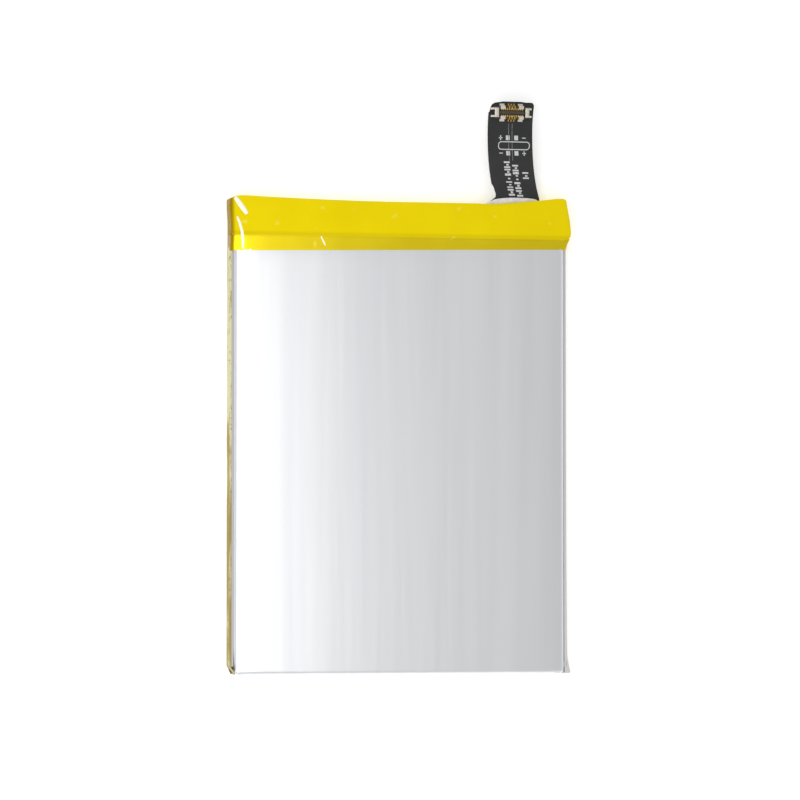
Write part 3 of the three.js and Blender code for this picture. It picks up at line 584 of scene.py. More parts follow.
# How far the face has fallen, as (place across the cell, fall), both in mm
CROWN = (((CUP_HALF - SHOULDER) / MM, 0.19), (28.6, 0.10), (27.6, 0.04), (25.5, 0.024),
         (22, 0.009))
FACE_CUTS = (-12, -4, 4, 12)
LENGTH_STEPS = 16
CORNER = 0.95 * MM
CORNER_WALL, CORNER_SHOULDER = 0.35 * MM, 1.15 * MM
CORNER_FOLLOW = 0.45

pouch_front = start_block("pouch_front", (-CUP_HALF, BOTTOM, RIM + FILM),
                          (CUP_HALF, CUP_TOP, FACE))
pick(pouch_front, "FACE", lambda middle, facing: facing.z < -0.9)
bpy.ops.mesh.delete(type="FACE")
pick(pouch_front, "EDGE", lambda middle, facing: near(middle.z, FACE) and abs(facing.y) > 0.9)
bpy.ops.mesh.bevel(offset=SHOULDER, segments=8, profile=0.5)
pick(pouch_front, "EDGE", lambda middle, facing: abs(facing.y) < 0.1
     and middle.z > RIM + 2 * FILM)
bpy.ops.mesh.bevel(offset=END_SHOULDER, segments=5, profile=0.5)
objects_only(pouch_front)

cut(pouch_front, 0, [side * row * MM for side in (-1, 1) for row, drop in CROWN[1:]]
    + [column * MM for column in FACE_CUTS])
cut(pouch_front, 1, [BOTTOM + (CUP_TOP - BOTTOM) * step / LENGTH_STEPS
                     for step in range(1, LENGTH_STEPS)])
for row, drop in CROWN[1:]:
    move(pouch_front, lambda middle, facing: near(abs(middle.x), row * MM)
         and middle.z > FACE - MM, (0, 0, -drop * MM))
shoulder_row, shoulder_drop = CROWN[0]
move(pouch_front, lambda middle, facing: abs(middle.x) > (shoulder_row - 0.02) * MM
     and middle.z > FACE - 1.3 * MM, (0, 0, -shoulder_drop * MM))
for row in places_of(pouch_front, 1):
    if row < BOTTOM + CORNER:
        inward = CORNER - (row - BOTTOM)
        move(pouch_front, lambda middle, facing: near(middle.y, row, SAME_ROW)
             and middle.x < CORNER_WALL - CUP_HALF, (inward, 0, 0))
        move(pouch_front, lambda middle, facing: near(middle.y, row, SAME_ROW)
             and CORNER_WALL + inward < middle.x + CUP_HALF < CORNER_SHOULDER,
             (CORNER_FOLLOW * inward, 0, 0))
apply_modifier(pouch_front, "SOLIDIFY", thickness=FILM, offset=-1)
dress(pouch_front, laminate, 60)
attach(pouch_front, "cell")
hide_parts("pouch_cup")


# %% [markdown]
# ## Pouch back and folded seals
# The back half is a flat sheet. Its side seals, where both halves are welded together, are
# folded up against the cup: on the left the seal is trimmed short at the bottom, and on the
# right it has sprung open towards the bottom and ends in a small ear. A flat sheet is cut
# where it will be shaped, its side edges are extruded upwards, and rows near the right
# bottom are moved outwards. Within the rim the back is pressed down to the table.

# %% Pouch back
SEAL = 2 * FILM + 0.10 * MM
FOLD = 0.25 * MM
FOLD_STEPS = 3
SEAL_RISE = WING_TOP - RIM - FOLD
WING_INSET = 0.07 * MM
WING_LEAN = 0.2 * MM
LEFT_TRIM = 1.5 * MM
LEFT_CUT_IN = 1.25 * MM
STEP_OUTER, STEP_INNER = 1.95 * MM, 2.15 * MM
STEP_DEEP = 0.2 * MM
# How far the right seal has sprung out, as (place up from the foot, spring), both in mm
SPREAD = ((0, 1.4), (1.2, 1.12), (2.4, 0.88), (3.5, 0.7), (7, 0.62), (14, 0.5), (24, 0.33),
          (35, 0.16), (49, 0))
# Its foot moves out fully and its top, held by the cup, hardly: (from height, to, share)
HEIGHTS = ((-0.5, 0.5, 1), (0.5, 1.5, 0.72), (1.5, 2.5, 0.42), (2.5, 4, 0.1))


def fold_up(side):
    """Extrudes the selected edge of a sheet up its side, round a small fold."""
    for step in range(1, FOLD_STEPS + 1):
        before = math.radians(90 * (step - 1) / FOLD_STEPS)
        turn = math.radians(90 * step / FOLD_STEPS)
        out = side * FOLD * (math.sin(turn) - math.sin(before))
        up = FOLD * (math.cos(before) - math.cos(turn))
        bpy.ops.mesh.extrude_region_move(TRANSFORM_OT_translate={"value": (out, 0, up)})
    for share in (0.3, 0.3, 0.4):
        bpy.ops.mesh.extrude_region_move(
            TRANSFORM_OT_translate={"value": (0, 0, SEAL_RISE * share)})


WING = HALF_WIDTH - WING_INSET
FLAT = WING - FOLD
pouch_back = start_sheet("pouch_back_film", (-FLAT, BOTTOM, RIM), (FLAT, SEAL_TOP, RIM))
cut(pouch_back, 0, [-FLAT + STEP_OUTER, -FLAT + STEP_INNER, FLAT - STEP_INNER,
                    FLAT - STEP_OUTER])
panel_top = wrap_low.y + MM
cut(pouch_back, 1, [BOTTOM + run * MM for run, spread in SPREAD[1:]]
    + [BOTTOM + LEFT_TRIM, panel_top - STEP_DEEP, panel_top])
pick(pouch_back, "EDGE", lambda middle, facing: middle.x < SIDE_REACH - FLAT
     and middle.y > BOTTOM + LEFT_TRIM)
fold_up(-1)
pick(pouch_back, "EDGE", lambda middle, facing: middle.x > FLAT - SIDE_REACH)
fold_up(1)
for run, spread in SPREAD:
    for low, high, share in HEIGHTS:
        move(pouch_back, lambda middle, facing: middle.x > FLAT - SIDE_REACH
             and near(middle.y, BOTTOM + run * MM) and low * MM < middle.z <= high * MM,
             (spread * share * MM, 0, 0))
for side in (-1, 1):
    move(pouch_back, lambda middle, facing: middle.x * side > FLAT - SIDE_REACH
         and near(middle.z, WING_TOP, SIDE_REACH), (-side * WING_LEAN, 0, 0))
move(pouch_back, lambda middle, facing: middle.x < 3 * SIDE_REACH - FLAT
     and near(middle.y, BOTTOM), (LEFT_CUT_IN, 0, 0))
move(pouch_back, lambda middle, facing: abs(middle.x) < FLAT - (STEP_OUTER + STEP_INNER) / 2
     and middle.y < panel_top - STEP_DEEP / 2, (0, 0, -RIM))
apply_modifier(pouch_back, "SOLIDIFY", thickness=SEAL, offset=1)
dress(pouch_back, laminate, 50)
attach(pouch_back, "cell")
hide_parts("pouch_back")

# %% [markdown]
# ## Side tapes
# A strip of thin tape holds each folded seal: it goes up the side and a little way onto the
# back. It is one strip bent to an L, so a flat lap is extruded upwards at its outer edge.

# %% Side tapes
TAPE = 0.06 * MM
LAP = 2.1 * MM
TAPE_STEPS = 40
TAPE_TOP = WING_TOP - 0.08 * MM
LEANING = 3 * MM
LEFT_FOOT, RIGHT_FOOT = 0.12 * MM, 0.05 * MM
# The tape is bent at the same heights as the seal that it lies on
SEAL_ROWS = [RIM + FOLD + SEAL_RISE * share for share in (0, 0.3, 0.6)]


def side_tape_strip(name, side, low, high):
    """One strip, from its lap on the back to its top edge."""
    edges = sorted((side * HALF_WIDTH, side * (HALF_WIDTH - LAP)))
    piece = start_sheet(name, (edges[0], low, TAPE / 2), (edges[1], high, TAPE / 2), columns=3)
    cut(piece, 1, [BOTTOM + run * MM for run, spread in SPREAD if BOTTOM + run * MM > low]
        + [BOTTOM + LEFT_TRIM]
        + [low + (high - low) * step / TAPE_STEPS for step in range(1, TAPE_STEPS)])
    pick(piece, "EDGE", lambda middle, facing: abs(middle.x) > HALF_WIDTH - SIDE_REACH)
    risen = 0
    for height in (*SEAL_ROWS, TAPE_TOP):
        rise = height - risen
        bpy.ops.mesh.extrude_region_move(TRANSFORM_OT_translate={"value": (0, 0, rise)})
        risen = height
    objects_only(piece)
    return piece


def spread_at(place):
    """How far the right seal has sprung out at a place along the cell."""
    run = (place - BOTTOM) / MM
    for (low, spread), (high, next_spread) in zip(SPREAD, SPREAD[1:]):
        if run < high:
            return (spread + (next_spread - spread) * (run - low) / (high - low)) * MM
    return 0


left_strip = side_tape_strip("left_side_strip", -1, BOTTOM + LEFT_FOOT, left_tape_high.y)
right_strip = side_tape_strip("right_side_strip", 1, BOTTOM + RIGHT_FOOT, left_tape_high.y)
for row in places_of(right_strip, 1):
    for low, high, share in HEIGHTS if spread_at(row) else ():
        move(right_strip, lambda middle, facing: near(middle.y, row)
             and middle.x > HALF_WIDTH - SIDE_REACH and low * MM < middle.z <= high * MM,
             (spread_at(row) * share, 0, 0))
for row in places_of(left_strip, 1):
    if row < BOTTOM + LEFT_TRIM:
        move(left_strip, lambda middle, facing: near(middle.y, row, SAME_ROW)
             and middle.x < SIDE_REACH - HALF_WIDTH,
             (LEFT_CUT_IN / LEFT_TRIM * (LEFT_TRIM - (row - BOTTOM)), 0, 0))
for strip, node, side in ((left_strip, "left_side_tape", -1),
                          (right_strip, "right_side_tape", 1)):
    move(strip, lambda middle, facing: abs(middle.x) > HALF_WIDTH - SIDE_REACH
         and middle.z > LEANING, (-side * WING_LEAN, 0, 0))
    move(strip, lambda middle, facing: True, (-side * TAPE / 2, 0, 0))
    apply_modifier(strip, "SOLIDIFY", thickness=TAPE, offset=0)
    dress(strip, side_tape, 50)
    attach(strip, "cell")
    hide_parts(node)

# %% [markdown]
# ## Top wrap
# The wrap is one tape folded round the board end like a parcel. Over the board it slopes
# down to the cell's end, and a soft crease runs where it steps onto the foil. Its right end
# stands out as a bulge, its left end is tucked tight, and its lap on the foil lies a little
# askew and follows the cup's shoulders down. A block is cut into rows and columns, the rows
# are moved to the profile and the columns to the plan, the open end is removed, and the
# edges get small bevels, as tape can't fold sharply.

# %% Top wrap
WRAP_FALL = 0.95 * MM
CREASE_RISE = 0.25 * MM
FACE_TOP = wrap_low.z + FACE + 0.1 * MM
SLOT_GAP = 0.4 * MM
SLOT_LEFT, SLOT_RIGHT = root_low.x - SLOT_GAP, root_high.x + SLOT_GAP
CREASE_END = CUP_TOP + 0.35 * MM
WRAP_ROWS = (CUP_TOP, CREASE_END, CUP_TOP + 1.2 * MM, CUP_TOP + 3 * MM, TOP - 2 * MM,
             TOP - 0.8 * MM)
# How far each of these rows stands out at the right, and the last two at the left, in mm
RIGHT_BULGE = (0.1, 0.45, 0.7, 0.6, 0.3, 0.1)
LEFT_BULGE = (0.2, 0.12)
LEFT_SKEW, SKEW_RANGE = -0.8 * MM, 1.05 * MM
PRESSED = 0.06 * MM
# How far the lap's ends drop, as (place across the cell, drop), both in mm
LAP_END = ((-31, 0.75), (-30, 0.28), (-28.4, 0.08), (29.2, 0.12), (30.3, 0.45), (31, 0.75))
# The rows that drop, how close their points are, and each row's share of the drop
LAP_ROWS = ((wrap_low.y, MM, 1), (CUP_TOP, SIDE_REACH, 0.55))
# How far the top edge bows out, as (place across the cell, bow), both in mm
TOP_EDGE = ((-31, -0.7), (-30, -0.1), (-28.4, -0.05), (-24, -0.3), (-12, -0.65), (0, -0.85),
            (12, -0.95), (SLOT_LEFT / MM, -1.0), (SLOT_RIGHT / MM, 0), (29.2, 0.35),
            (30.3, 0.35), (31, 0))

wrap = start_block("top_wrap", (-HALF_WIDTH, wrap_low.y, wrap_low.z),
                   (HALF_WIDTH, TOP, FACE_TOP))
pick(wrap, "FACE", lambda middle, facing: facing.y < -0.9)
bpy.ops.mesh.delete(type="FACE")
cut(wrap, 0, [column * MM for column, bow in TOP_EDGE[1:-1]])
cut(wrap, 1, WRAP_ROWS)
cut(wrap, 2, [root_low.z - 0.05 * MM, root_high.z + 0.2 * MM])
for row in places_of(wrap, 1)[2:]:
    fall = WRAP_FALL * (row - CREASE_END) / (TOP - CUP_TOP)
    move(wrap, lambda middle, facing: near(middle.y, row) and near(middle.z, FACE_TOP),
         (0, 0, CREASE_RISE - fall))
for row, out in zip(WRAP_ROWS, RIGHT_BULGE):
    move(wrap, lambda middle, facing: middle.x > HALF_WIDTH - SIDE_REACH
         and near(middle.y, row), (out * MM, 0, 0))
for column in places_of(wrap, 0, 5):
    skew = LEFT_SKEW + (column + HALF_WIDTH) / (2 * HALF_WIDTH) * SKEW_RANGE
    move(wrap, lambda middle, facing: near(middle.x, column) and near(middle.y, wrap_low.y)
         and middle.z > 2 * MM, (0, skew, -PRESSED))
for column, drop in LAP_END:
    for row, reach, share in LAP_ROWS:
        move(wrap, lambda middle, facing: near(middle.x, column * MM, 2 * SIDE_REACH)
             and near(middle.y, row, reach) and middle.z > 3 * MM,
             (0, 0, -drop * share * MM))
for row, out in zip(WRAP_ROWS[-2:], LEFT_BULGE):
    move(wrap, lambda middle, facing: middle.x < SIDE_REACH - HALF_WIDTH
         and near(middle.y, row), (-out * MM, 0, 0))
for column, bow in TOP_EDGE:
    move(wrap, lambda middle, facing: near(middle.x, column * MM, SIDE_REACH / 2)
         and near(middle.y, TOP), (0, bow * MM, 0))
pick(wrap, "FACE", lambda middle, facing: facing.y > 0.7
     and SLOT_LEFT < middle.x < SLOT_RIGHT
     and root_low.z - 0.1 * MM < middle.z < root_high.z + 0.25 * MM)
bpy.ops.mesh.delete(type="FACE")
pick(wrap, "EDGE", lambda middle, facing: abs(middle.x) > HALF_WIDTH - SIDE_REACH
     and abs(facing.x) < 0.3 and (near(middle.z, wrap_low.z) or middle.z > 3 * MM)
     and middle.y < TOP - 0.3 * MM)
bpy.ops.mesh.bevel(offset=0.45 * MM, segments=4, profile=0.5)
pick(wrap, "FACE", lambda middle, facing: True)
bpy.ops.mesh.normals_make_consistent(inside=False)
objects_only(wrap)
apply_modifier(wrap, "BEVEL", width=0.4 * MM, segments=4, limit_method="ANGLE",
               angle_limit=math.radians(50))
apply_modifier(wrap, "SUBSURF", levels=1, render_levels=1)
apply_modifier(wrap, "SOLIDIFY", thickness=TAPE, offset=-1)
dress(wrap, wrap_tape, 60)
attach(wrap, "cell")
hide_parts("top_wrap_tape")

# %% [markdown]
# ## The tail's path
# In the design the tail is three stiff stretches that hinge on each other, but real polyimide
# bends evenly. So its path is one curve: level where it leaves the wrap, then rising, and
# nearly level again under the connector, with the sideways bow of the design. Everything on
# the tail is laid along this path, so that prints and tracks lie on the ribbon exactly.

# %% Tail path
TAIL_BOW = 2.25 * MM
TAIL_BOW_AT = 12.8 * MM
HEAD_SLOPE = math.radians(4)
HEAD_LENGTH = 5.1 * MM
FLEX = 0.16 * MM
RISE_STEPS = 97
HEAD_STEPS = 40
ROOT_RUN = 1.7 * MM
LEVEL_BEFORE = 0.3 * MM
LEVEL_PULL, HEAD_PULL = 2.0 * MM, 5.4 * MM
root, head = hinges["root_bend"], hinges["head_bend"]
along_head = Vector((0, math.cos(HEAD_SLOPE), math.sin(HEAD_SLOPE)))


def tail_centre(run):
    """The tail's centre line bows sideways as it runs out from its root."""
    return root.x - TAIL_BOW + TAIL_BOW * (1 - max(run, 0) / TAIL_BOW_AT) ** 2


level = Vector((0, root.y - LEVEL_BEFORE, root.z))
rise = interpolate_bezier(level, level + Vector((0, LEVEL_PULL, 0)),
                          head - along_head * HEAD_PULL, head, RISE_STEPS)
tail_path = [Vector((0, level.y - ROOT_RUN, level.z)), *rise]
tail_path += [head + along_head * HEAD_LENGTH * step / HEAD_STEPS
              for step in range(1, HEAD_STEPS + 1)]
run = level.y - ROOT_RUN - root.y
previous = tail_path[0].copy()
for point in tail_path:
    run += (Vector((0, point.y, point.z)) - Vector((0, previous.y, previous.z))).length
    previous = point.copy()
    point.x = tail_centre(run)
LAST = len(tail_path) - 1
print("tail", round(run / MM, 2), "mm from its root bend,", LAST, "steps")


def nearest_step(y):
    """The step of the path that is closest to a place along the cell."""
    return min(range(len(tail_path)), key=lambda step: abs(tail_path[step].y - y))


# %% [markdown]
# A strip is laid on the tail by extruding its far edge from point to point of the path. The
# ribbon, its tracks and its print are all such strips, at different heights.

# %% Strips along the tail
def lay_strip(name, left, right, first, last, lift, columns=1):
    """A strip between two offsets from the centre line and two steps of the path."""
    start, after = tail_path[first], tail_path[first + 1]
    piece = start_sheet(name, (start.x + left, start.y, start.z + lift),
                        (start.x + right, after.y, start.z + lift), columns=columns)
    move(piece, lambda middle, facing: middle.y > (start.y + after.y) / 2,
         (after.x - start.x, 0, after.z - start.z))
    for step in range(first + 1, last):
        ahead = tail_path[step + 1] - tail_path[step]
        bpy.ops.mesh.extrude_region_move(TRANSFORM_OT_translate={"value": ahead})
    objects_only(piece)
    return piece


# %% [markdown]
# ## The ribbon
# One ribbon would have to bend at three hinges at once, so it is made of three lengths whose
# ends meet in the middle of the stiff stretches, where both move alike. The lengths are only
# placed here and aren't bent over their hinges. The root flares where it is soldered down, and
# the head ends in one wide and one tight corner with a slight arch between them.

# %% Ribbon
CONNECTOR, CONNECTOR_MARGIN = 6.6 * MM, 0.85 * MM
FLEX_HALF = CONNECTOR / 2 + CONNECTOR_MARGIN
mid_low = nearest_step((root.y + hinges["mid_bend"].y) / 2)
mid_high = nearest_step(hinges["mid_bend"].y + 2.1 * MM)
COLUMNS = 10

ribbon_root = lay_strip("flex_root", -FLEX_HALF, FLEX_HALF, 0, mid_low, 0, COLUMNS)
# The left edge, as (place along the cell, place across it): it waists in, then flares out
ROOT_EDGE = ((41.0, 15.0), (41.9, 15.3), (42.1, 15.75), (42.3, 16.3), (42.6, 16.95),
             (42.9, 17.55), (43.3, 18.0), (43.8, 18.02), (44.4, 17.75), (45.6, None))
# The columns that follow the edge, and how much of its shift each takes
FOLLOWING = ((0, 1), (1, 0.6), (2, 0.25))


def root_edge(y, plain):
    """The left edge at a place along the cell, and the plain edge beyond the flare, in mm."""
    for (low, left), (high, right) in zip(ROOT_EDGE, ROOT_EDGE[1:]):
        if y < high:
            share = max(y - low, 0) / (high - low)
            return left + ((plain if right is None else right) - left) * share
    return plain


for step in range(mid_low):
    point = tail_path[step]
    plain = point.x - FLEX_HALF
    shift = root_edge(point.y / MM, plain / MM) * MM - plain
    if abs(shift) > SAME_ROW:
        for column, share in FOLLOWING:
            edge = plain + column * 2 * FLEX_HALF / COLUMNS
            move(ribbon_root, lambda middle, facing: near(middle.y, point.y, 0.004 * MM)
                 and near(middle.x, edge, 0.01 * MM), (shift * share, 0, 0))
ribbon_middle = lay_strip("flex_middle", -FLEX_HALF, FLEX_HALF, mid_low, mid_high, 0, COLUMNS)
ribbon_head = lay_strip("flex_head", -FLEX_HALF, FLEX_HALF, mid_high, LAST, 0, COLUMNS)
# The head's end, as (place across the ribbon, place short of its end), both in mm
HEAD_OUTLINE = ((-4.15, -1.7), (-3.8, -0.85), (-3.2, -0.4), (-2.2, -0.1), (-0.6, 0), (1.6, -0.02),
                (3.2, -0.2), (3.9, -0.45), (4.15, -0.9))
end = tail_path[LAST]
for (left, low), (right, high) in zip(HEAD_OUTLINE, HEAD_OUTLINE[1:]):
    pick(ribbon_head, "FACE", lambda middle, facing: True)
    bpy.ops.mesh.bisect(plane_co=(end.x + left * MM, end.y + low * MM, 0),
                        plane_no=Vector((low - high, right - left, 0)).normalized(),
                        clear_outer=True)
objects_only(ribbon_head)

# %% Steps shared by the ribbon and what lies on it
def bend_root(piece):
    """Bakes a piece's place into its mesh; it isn't bent over the tail's first hinge."""
    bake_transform(piece)


def bend_middle(piece):
    """Bakes a piece's place into its mesh; it isn't bent over the tail's second hinge."""
    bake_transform(piece)


def bend_head(piece):
    """Bakes a piece's place into its mesh; it isn't bent over the hinge below the connector."""
    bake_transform(piece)


for ribbon, bend, node in ((ribbon_root, bend_root, ("tail_root",)),
                           (ribbon_middle, bend_middle, ("tail_lower", "tail_upper")),
                           (ribbon_head, bend_head, ("tail_head",))):
    apply_modifier(ribbon, "SOLIDIFY", thickness=FLEX, offset=0)
    dress(ribbon, coverlay, 40)
    bend(ribbon)
    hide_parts(*node)

# %% [markdown]
# ## Root bead
# Where the ribbon leaves the wrap, its glossy bend shines white. That shine is a painted
# highlight given a shape: a low white half-moon that hugs the tape's edge, full under the middle
# of the ribbon, blunt on the right and drawn out to a point on the left. A block is cut into
# columns, its ends are drawn in, its far edge is bowed and its top is rounded by subdivision.

# %% Root bead
BEAD_RISE = 0.55 * MM
BEAD_LOW = 41.2 * MM
BEAD_HIGH = 43.2 * MM
BEAD_SUNK = 0.05 * MM
# Its far edge, as (place across the cell, place along it), both in mm
BEAD_EDGE = ((15.8, 41.92), (16.4, 42.2), (17.1, 42.55), (17.7, 42.84), (18.5, 43.0),
             (19.6, 43.13), (21, 43.2), (22.4, 43.2), (23.8, 43.15), (25, 43.06),
             (25.6, 42.9), (25.8, 42.6))
bead_z = root.z + FLEX / 2 - BEAD_SUNK
bead = start_block("root_bead", (BEAD_EDGE[0][0] * MM, BEAD_LOW, bead_z),
                   (BEAD_EDGE[-1][0] * MM, BEAD_HIGH, bead_z + BEAD_RISE))
cut(bead, 0, [column * MM for column, edge in BEAD_EDGE[1:-1]])
cut(bead, 1, [BEAD_LOW + (BEAD_HIGH - BEAD_LOW) * share for share in (0.4, 0.75)])
for column, edge in BEAD_EDGE:
    drawn = (edge * MM - BEAD_LOW) / (BEAD_HIGH - BEAD_LOW)
    pick(bead, "VERT", lambda middle, facing: near(middle.x, column * MM))
    bpy.ops.transform.resize(value=(1, drawn, 1), center_override=(column * MM, BEAD_LOW, bead_z))
objects_only(bead)
apply_modifier(bead, "BEVEL", width=0.12 * MM, segments=2, limit_method="ANGLE",
               angle_limit=math.radians(50))
apply_modifier(bead, "SUBSURF", levels=2, render_levels=2)
dress(bead, root_highlight_white, 60)
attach(bead, "cell")

# %% [markdown]
# ## Pleats at the tucked corner
# The wrap is tucked at its left end, and two folds of tape stand up there: a short straight
# one from the corner inwards, and a longer curved one down to the wrap's edge. A third, much
# finer, crosses the lap on the foil further right. Each is a narrow strip that is dropped
# onto the wrap by a Shrinkwrap modifier, and then its middle is raised to a ridge. A point
# that misses the wrap would hang above it, so such points are counted.

# %% Pleats
PLEAT_ROWS = 14
PLEAT_COLUMNS = 4
DROP_FROM = FACE + 1.5 * MM
PLEAT_LIFT = 0.02 * MM
# The share of the ridge's height at each column, counted from the middle one
RIDGE = ((0, 1), (1, 0.72), (-1, 0.72))


def pleat(name, start, end, bow, width):
    """A fold of tape along a line on the wrap, given in mm, bowed sideways at its middle."""
    start, end = Vector((*start, 0)) * MM, Vector((*end, 0)) * MM
    line = end - start
    across = Vector((line.y, -line.x, 0)).normalized()
    piece = start_sheet(name, (-width / 2 * MM, 0, DROP_FROM),
                        (width / 2 * MM, line.length, DROP_FROM),
                        columns=PLEAT_COLUMNS, rows=PLEAT_ROWS)
    for step in range(PLEAT_ROWS + 1):
        share = step / PLEAT_ROWS
        row = line.length * share
        taper = 0.35 + 0.65 * math.sin(math.pi * (0.08 + 0.84 * share)) ** 0.6
        pick(piece, "VERT", lambda middle, facing: near(middle.y, row))
        bpy.ops.transform.resize(value=(taper, 1, 1), center_override=(0, row, DROP_FROM))
        bpy.ops.transform.translate(value=(bow * MM * 4 * share * (1 - share), 0, 0))
    objects_only(piece)
    turn = Matrix((across, line.normalized(), Vector((0, 0, 1)))).transposed().to_4x4()
    piece.matrix_world = Matrix.Translation(start) @ turn
    bpy.ops.object.transform_apply(location=True, rotation=True, scale=True)
    apply_modifier(piece, "SHRINKWRAP", target=wrap, wrap_method="PROJECT", offset=PLEAT_LIFT,
                   use_project_x=False, use_project_y=False, use_project_z=True,
                   use_negative_direction=True, use_positive_direction=False)
    missed = sum(vertex.co.z > DROP_FROM - SIDE_REACH for vertex in piece.data.vertices)
    print(f"{name}: {missed} points missed the wrap")
    return piece


def raise_ridge(piece, ridge):
    """Lifts the middle columns of a pleat off the wrap, most along its centre."""
    points = [vertex.co.copy() for vertex in piece.data.vertices]
    for column, share in RIDGE:
        lifted = points[PLEAT_COLUMNS // 2 + column::PLEAT_COLUMNS + 1]
        pick(piece, "VERT", lambda middle, facing: any((middle - point).length < 1e-7
                                                       for point in lifted))
        bpy.ops.transform.translate(value=(0, 0, ridge * share * MM))
    objects_only(piece)


for number, (start, end, bow, width, ridge) in enumerate((
        ((-30.2, 42.3), (-28.1, 39.3), 0.0, 0.85, 0.16),
        ((-29.9, 38.8), (-28.85, 33.1), -0.3, 0.5, 0.12),
        ((-14.7, 35.5), (-13.9, 33.9), 0.0, 0.22, 0.03)), start=1):
    fold = pleat(f"corner_pleat_{number}", start, end, bow, width)
    raise_ridge(fold, ridge)
    apply_modifier(fold, "SUBSURF", levels=1, render_levels=1)
    apply_modifier(fold, "SOLIDIFY", thickness=TAPE, offset=0)
    dress(fold, pleat_highlight_tape, 60)
    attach(fold, "cell")

# %% [markdown]
# ## Print and tracks on the ribbon
# Two copper tracks run from the connector down the ribbon. Over them a white print marks a
# test point: a rounded frame between two rows of pads with plus and minus signs, and three
# columns of code below. The code is drawn as plain bars and can't be read. Every mark is a
# strip laid on the path, a hundredth of a millimetre proud of the ribbon, and it is joined with
# the other marks on the length of ribbon that it lies on.

# %% Marks
PRINT_LIFT = FLEX / 2 + 0.004 * MM
PRINT_THICK = 0.012 * MM
marks = {"root": [], "middle": [], "head": []}


def mark(left, right, y_low, y_high, group=marks):
    """A printed bar between two offsets from the centre line and two places along the cell."""
    first = nearest_step(y_low * MM)
    last = max(nearest_step(y_high * MM), first + 1)
    for stretch, low, high in (("root", first, min(last, mid_low)),
                               ("middle", max(first, mid_low), min(last, mid_high)),
                               ("head", max(first, mid_high), last)):
        if low < high:
            group[stretch].append(lay_strip("mark", left * MM, right * MM, low, high,
                                            PRINT_LIFT))


PAD = 0.36
SIGN_REACH, SIGN_HALF_LINE = 0.34, 0.09
for y, first_sign, last_sign in ((53.75, "plus", "minus"), (50.95, "minus", "plus")):
    for offset in (-0.42, 1.12):
        mark(offset - PAD, offset + PAD, y - PAD, y + PAD)
    for offset, sign in ((-1.75, first_sign), (2.55, last_sign)):
        mark(offset - SIGN_REACH, offset + SIGN_REACH, y - SIGN_HALF_LINE, y + SIGN_HALF_LINE)
        if sign == "plus":
            mark(offset - SIGN_HALF_LINE, offset + SIGN_HALF_LINE, y - PAD, y + PAD)

CODE_PITCH = 0.44
CODE_BAR = 0.29
CODE_SHORTER = 0.45
CODE_GAP = 0.22
# Each column of code: its left and right, its top, and how many bars are in each group
for left, right, high, groups in ((-1.35, -0.25, 49.6, (6, 1, 6)),
                                  (0.15, 1.25, 49.0, (5, 1, 6)), (1.9, 3.0, 47.7, (3,))):
    y = high
    for group_size in groups:
        for bar in range(group_size):
            short = CODE_SHORTER if bar % 3 == 1 or group_size == 1 else 0
            mark(left + short, right - short * 0.5, y - CODE_BAR, y)
            y -= CODE_PITCH
        y -= CODE_GAP

TRACK_HALF = 0.055
tracks = {"root": [], "middle": [], "head": []}
for offset in (-0.28, 0.36):
    mark(offset - TRACK_HALF, offset + TRACK_HALF, 49.7, 56.3, tracks)
print({stretch: len(strips) for stretch, strips in marks.items()}, "marks")

# %% Rounded frame of the test point
FRAME_WIDE, FRAME_DEEP, FRAME_LINE = 5.9 * MM, 1.5 * MM, 0.16 * MM
FRAME_ROUND = 0.62 * MM
FRAME_Y = 52.38 * MM
FRAME_OFFSET, FRAME_ABOVE = 0.7 * MM, 2 * MM
FRAME_LIFT = 0.006 * MM

centre = tail_path[nearest_step(FRAME_Y)] + Vector((FRAME_OFFSET, 0, FRAME_ABOVE))
outline = start_sheet("mark", centre - Vector((FRAME_WIDE, FRAME_DEEP, 0)) / 2,
                      centre + Vector((FRAME_WIDE, FRAME_DEEP, 0)) / 2)
pick(outline, "VERT", lambda middle, facing: True)
bpy.ops.mesh.bevel(offset=FRAME_ROUND, segments=6, affect="VERTICES")
pick(outline, "FACE", lambda middle, facing: True)
bpy.ops.mesh.inset(thickness=FRAME_LINE, depth=0)
pick(outline, "FACE", lambda middle, facing: near(middle.x, centre.x)
     and near(middle.y, centre.y))
bpy.ops.mesh.delete(type="FACE")
cut(outline, 0, [centre.x + step * MM for step in range(-2, 3)])
apply_modifier(outline, "SHRINKWRAP", target=ribbon_head, wrap_method="PROJECT",
               offset=FRAME_LIFT, use_project_x=False, use_project_y=False,
               use_project_z=True, use_negative_direction=True, use_positive_direction=False)
marks["head"].append(outline)


# %% Joining the marks of each length of ribbon
def join_marks(name, strips, material, bend):
    """Makes one piece of the marks on a length of ribbon and bakes its place, as the ribbon's is.
    """
    nothing_selected()
    for strip in strips:
        strip.select_set(True)
    bpy.context.view_layer.objects.active = strips[0]
    if len(strips) > 1:
        bpy.ops.object.join()
    piece = bpy.context.view_layer.objects.active
    piece.name = name
    piece.data.name = name
    apply_modifier(piece, "SOLIDIFY", thickness=PRINT_THICK, offset=1)
    dress(piece, material)
    bend(piece)


BENDS = {"root": bend_root, "middle": bend_middle, "head": bend_head}
for stretch, bend in BENDS.items():
    if marks[stretch]:
        join_marks(f"print_{stretch}", marks[stretch], ink, bend)
    if tracks[stretch]:
        join_marks(f"tracks_{stretch}", tracks[stretch], faint_ink, bend)

# %% [markdown]
# ## Nails of the connector
# The connector is held down by a bent metal nail at each end: seen from above, a broad bar
# over the end wall with two feet that reach out to the solder. A block is cut in three along
# its length, its outer faces are extruded to the feet, and the edges are bevelled.

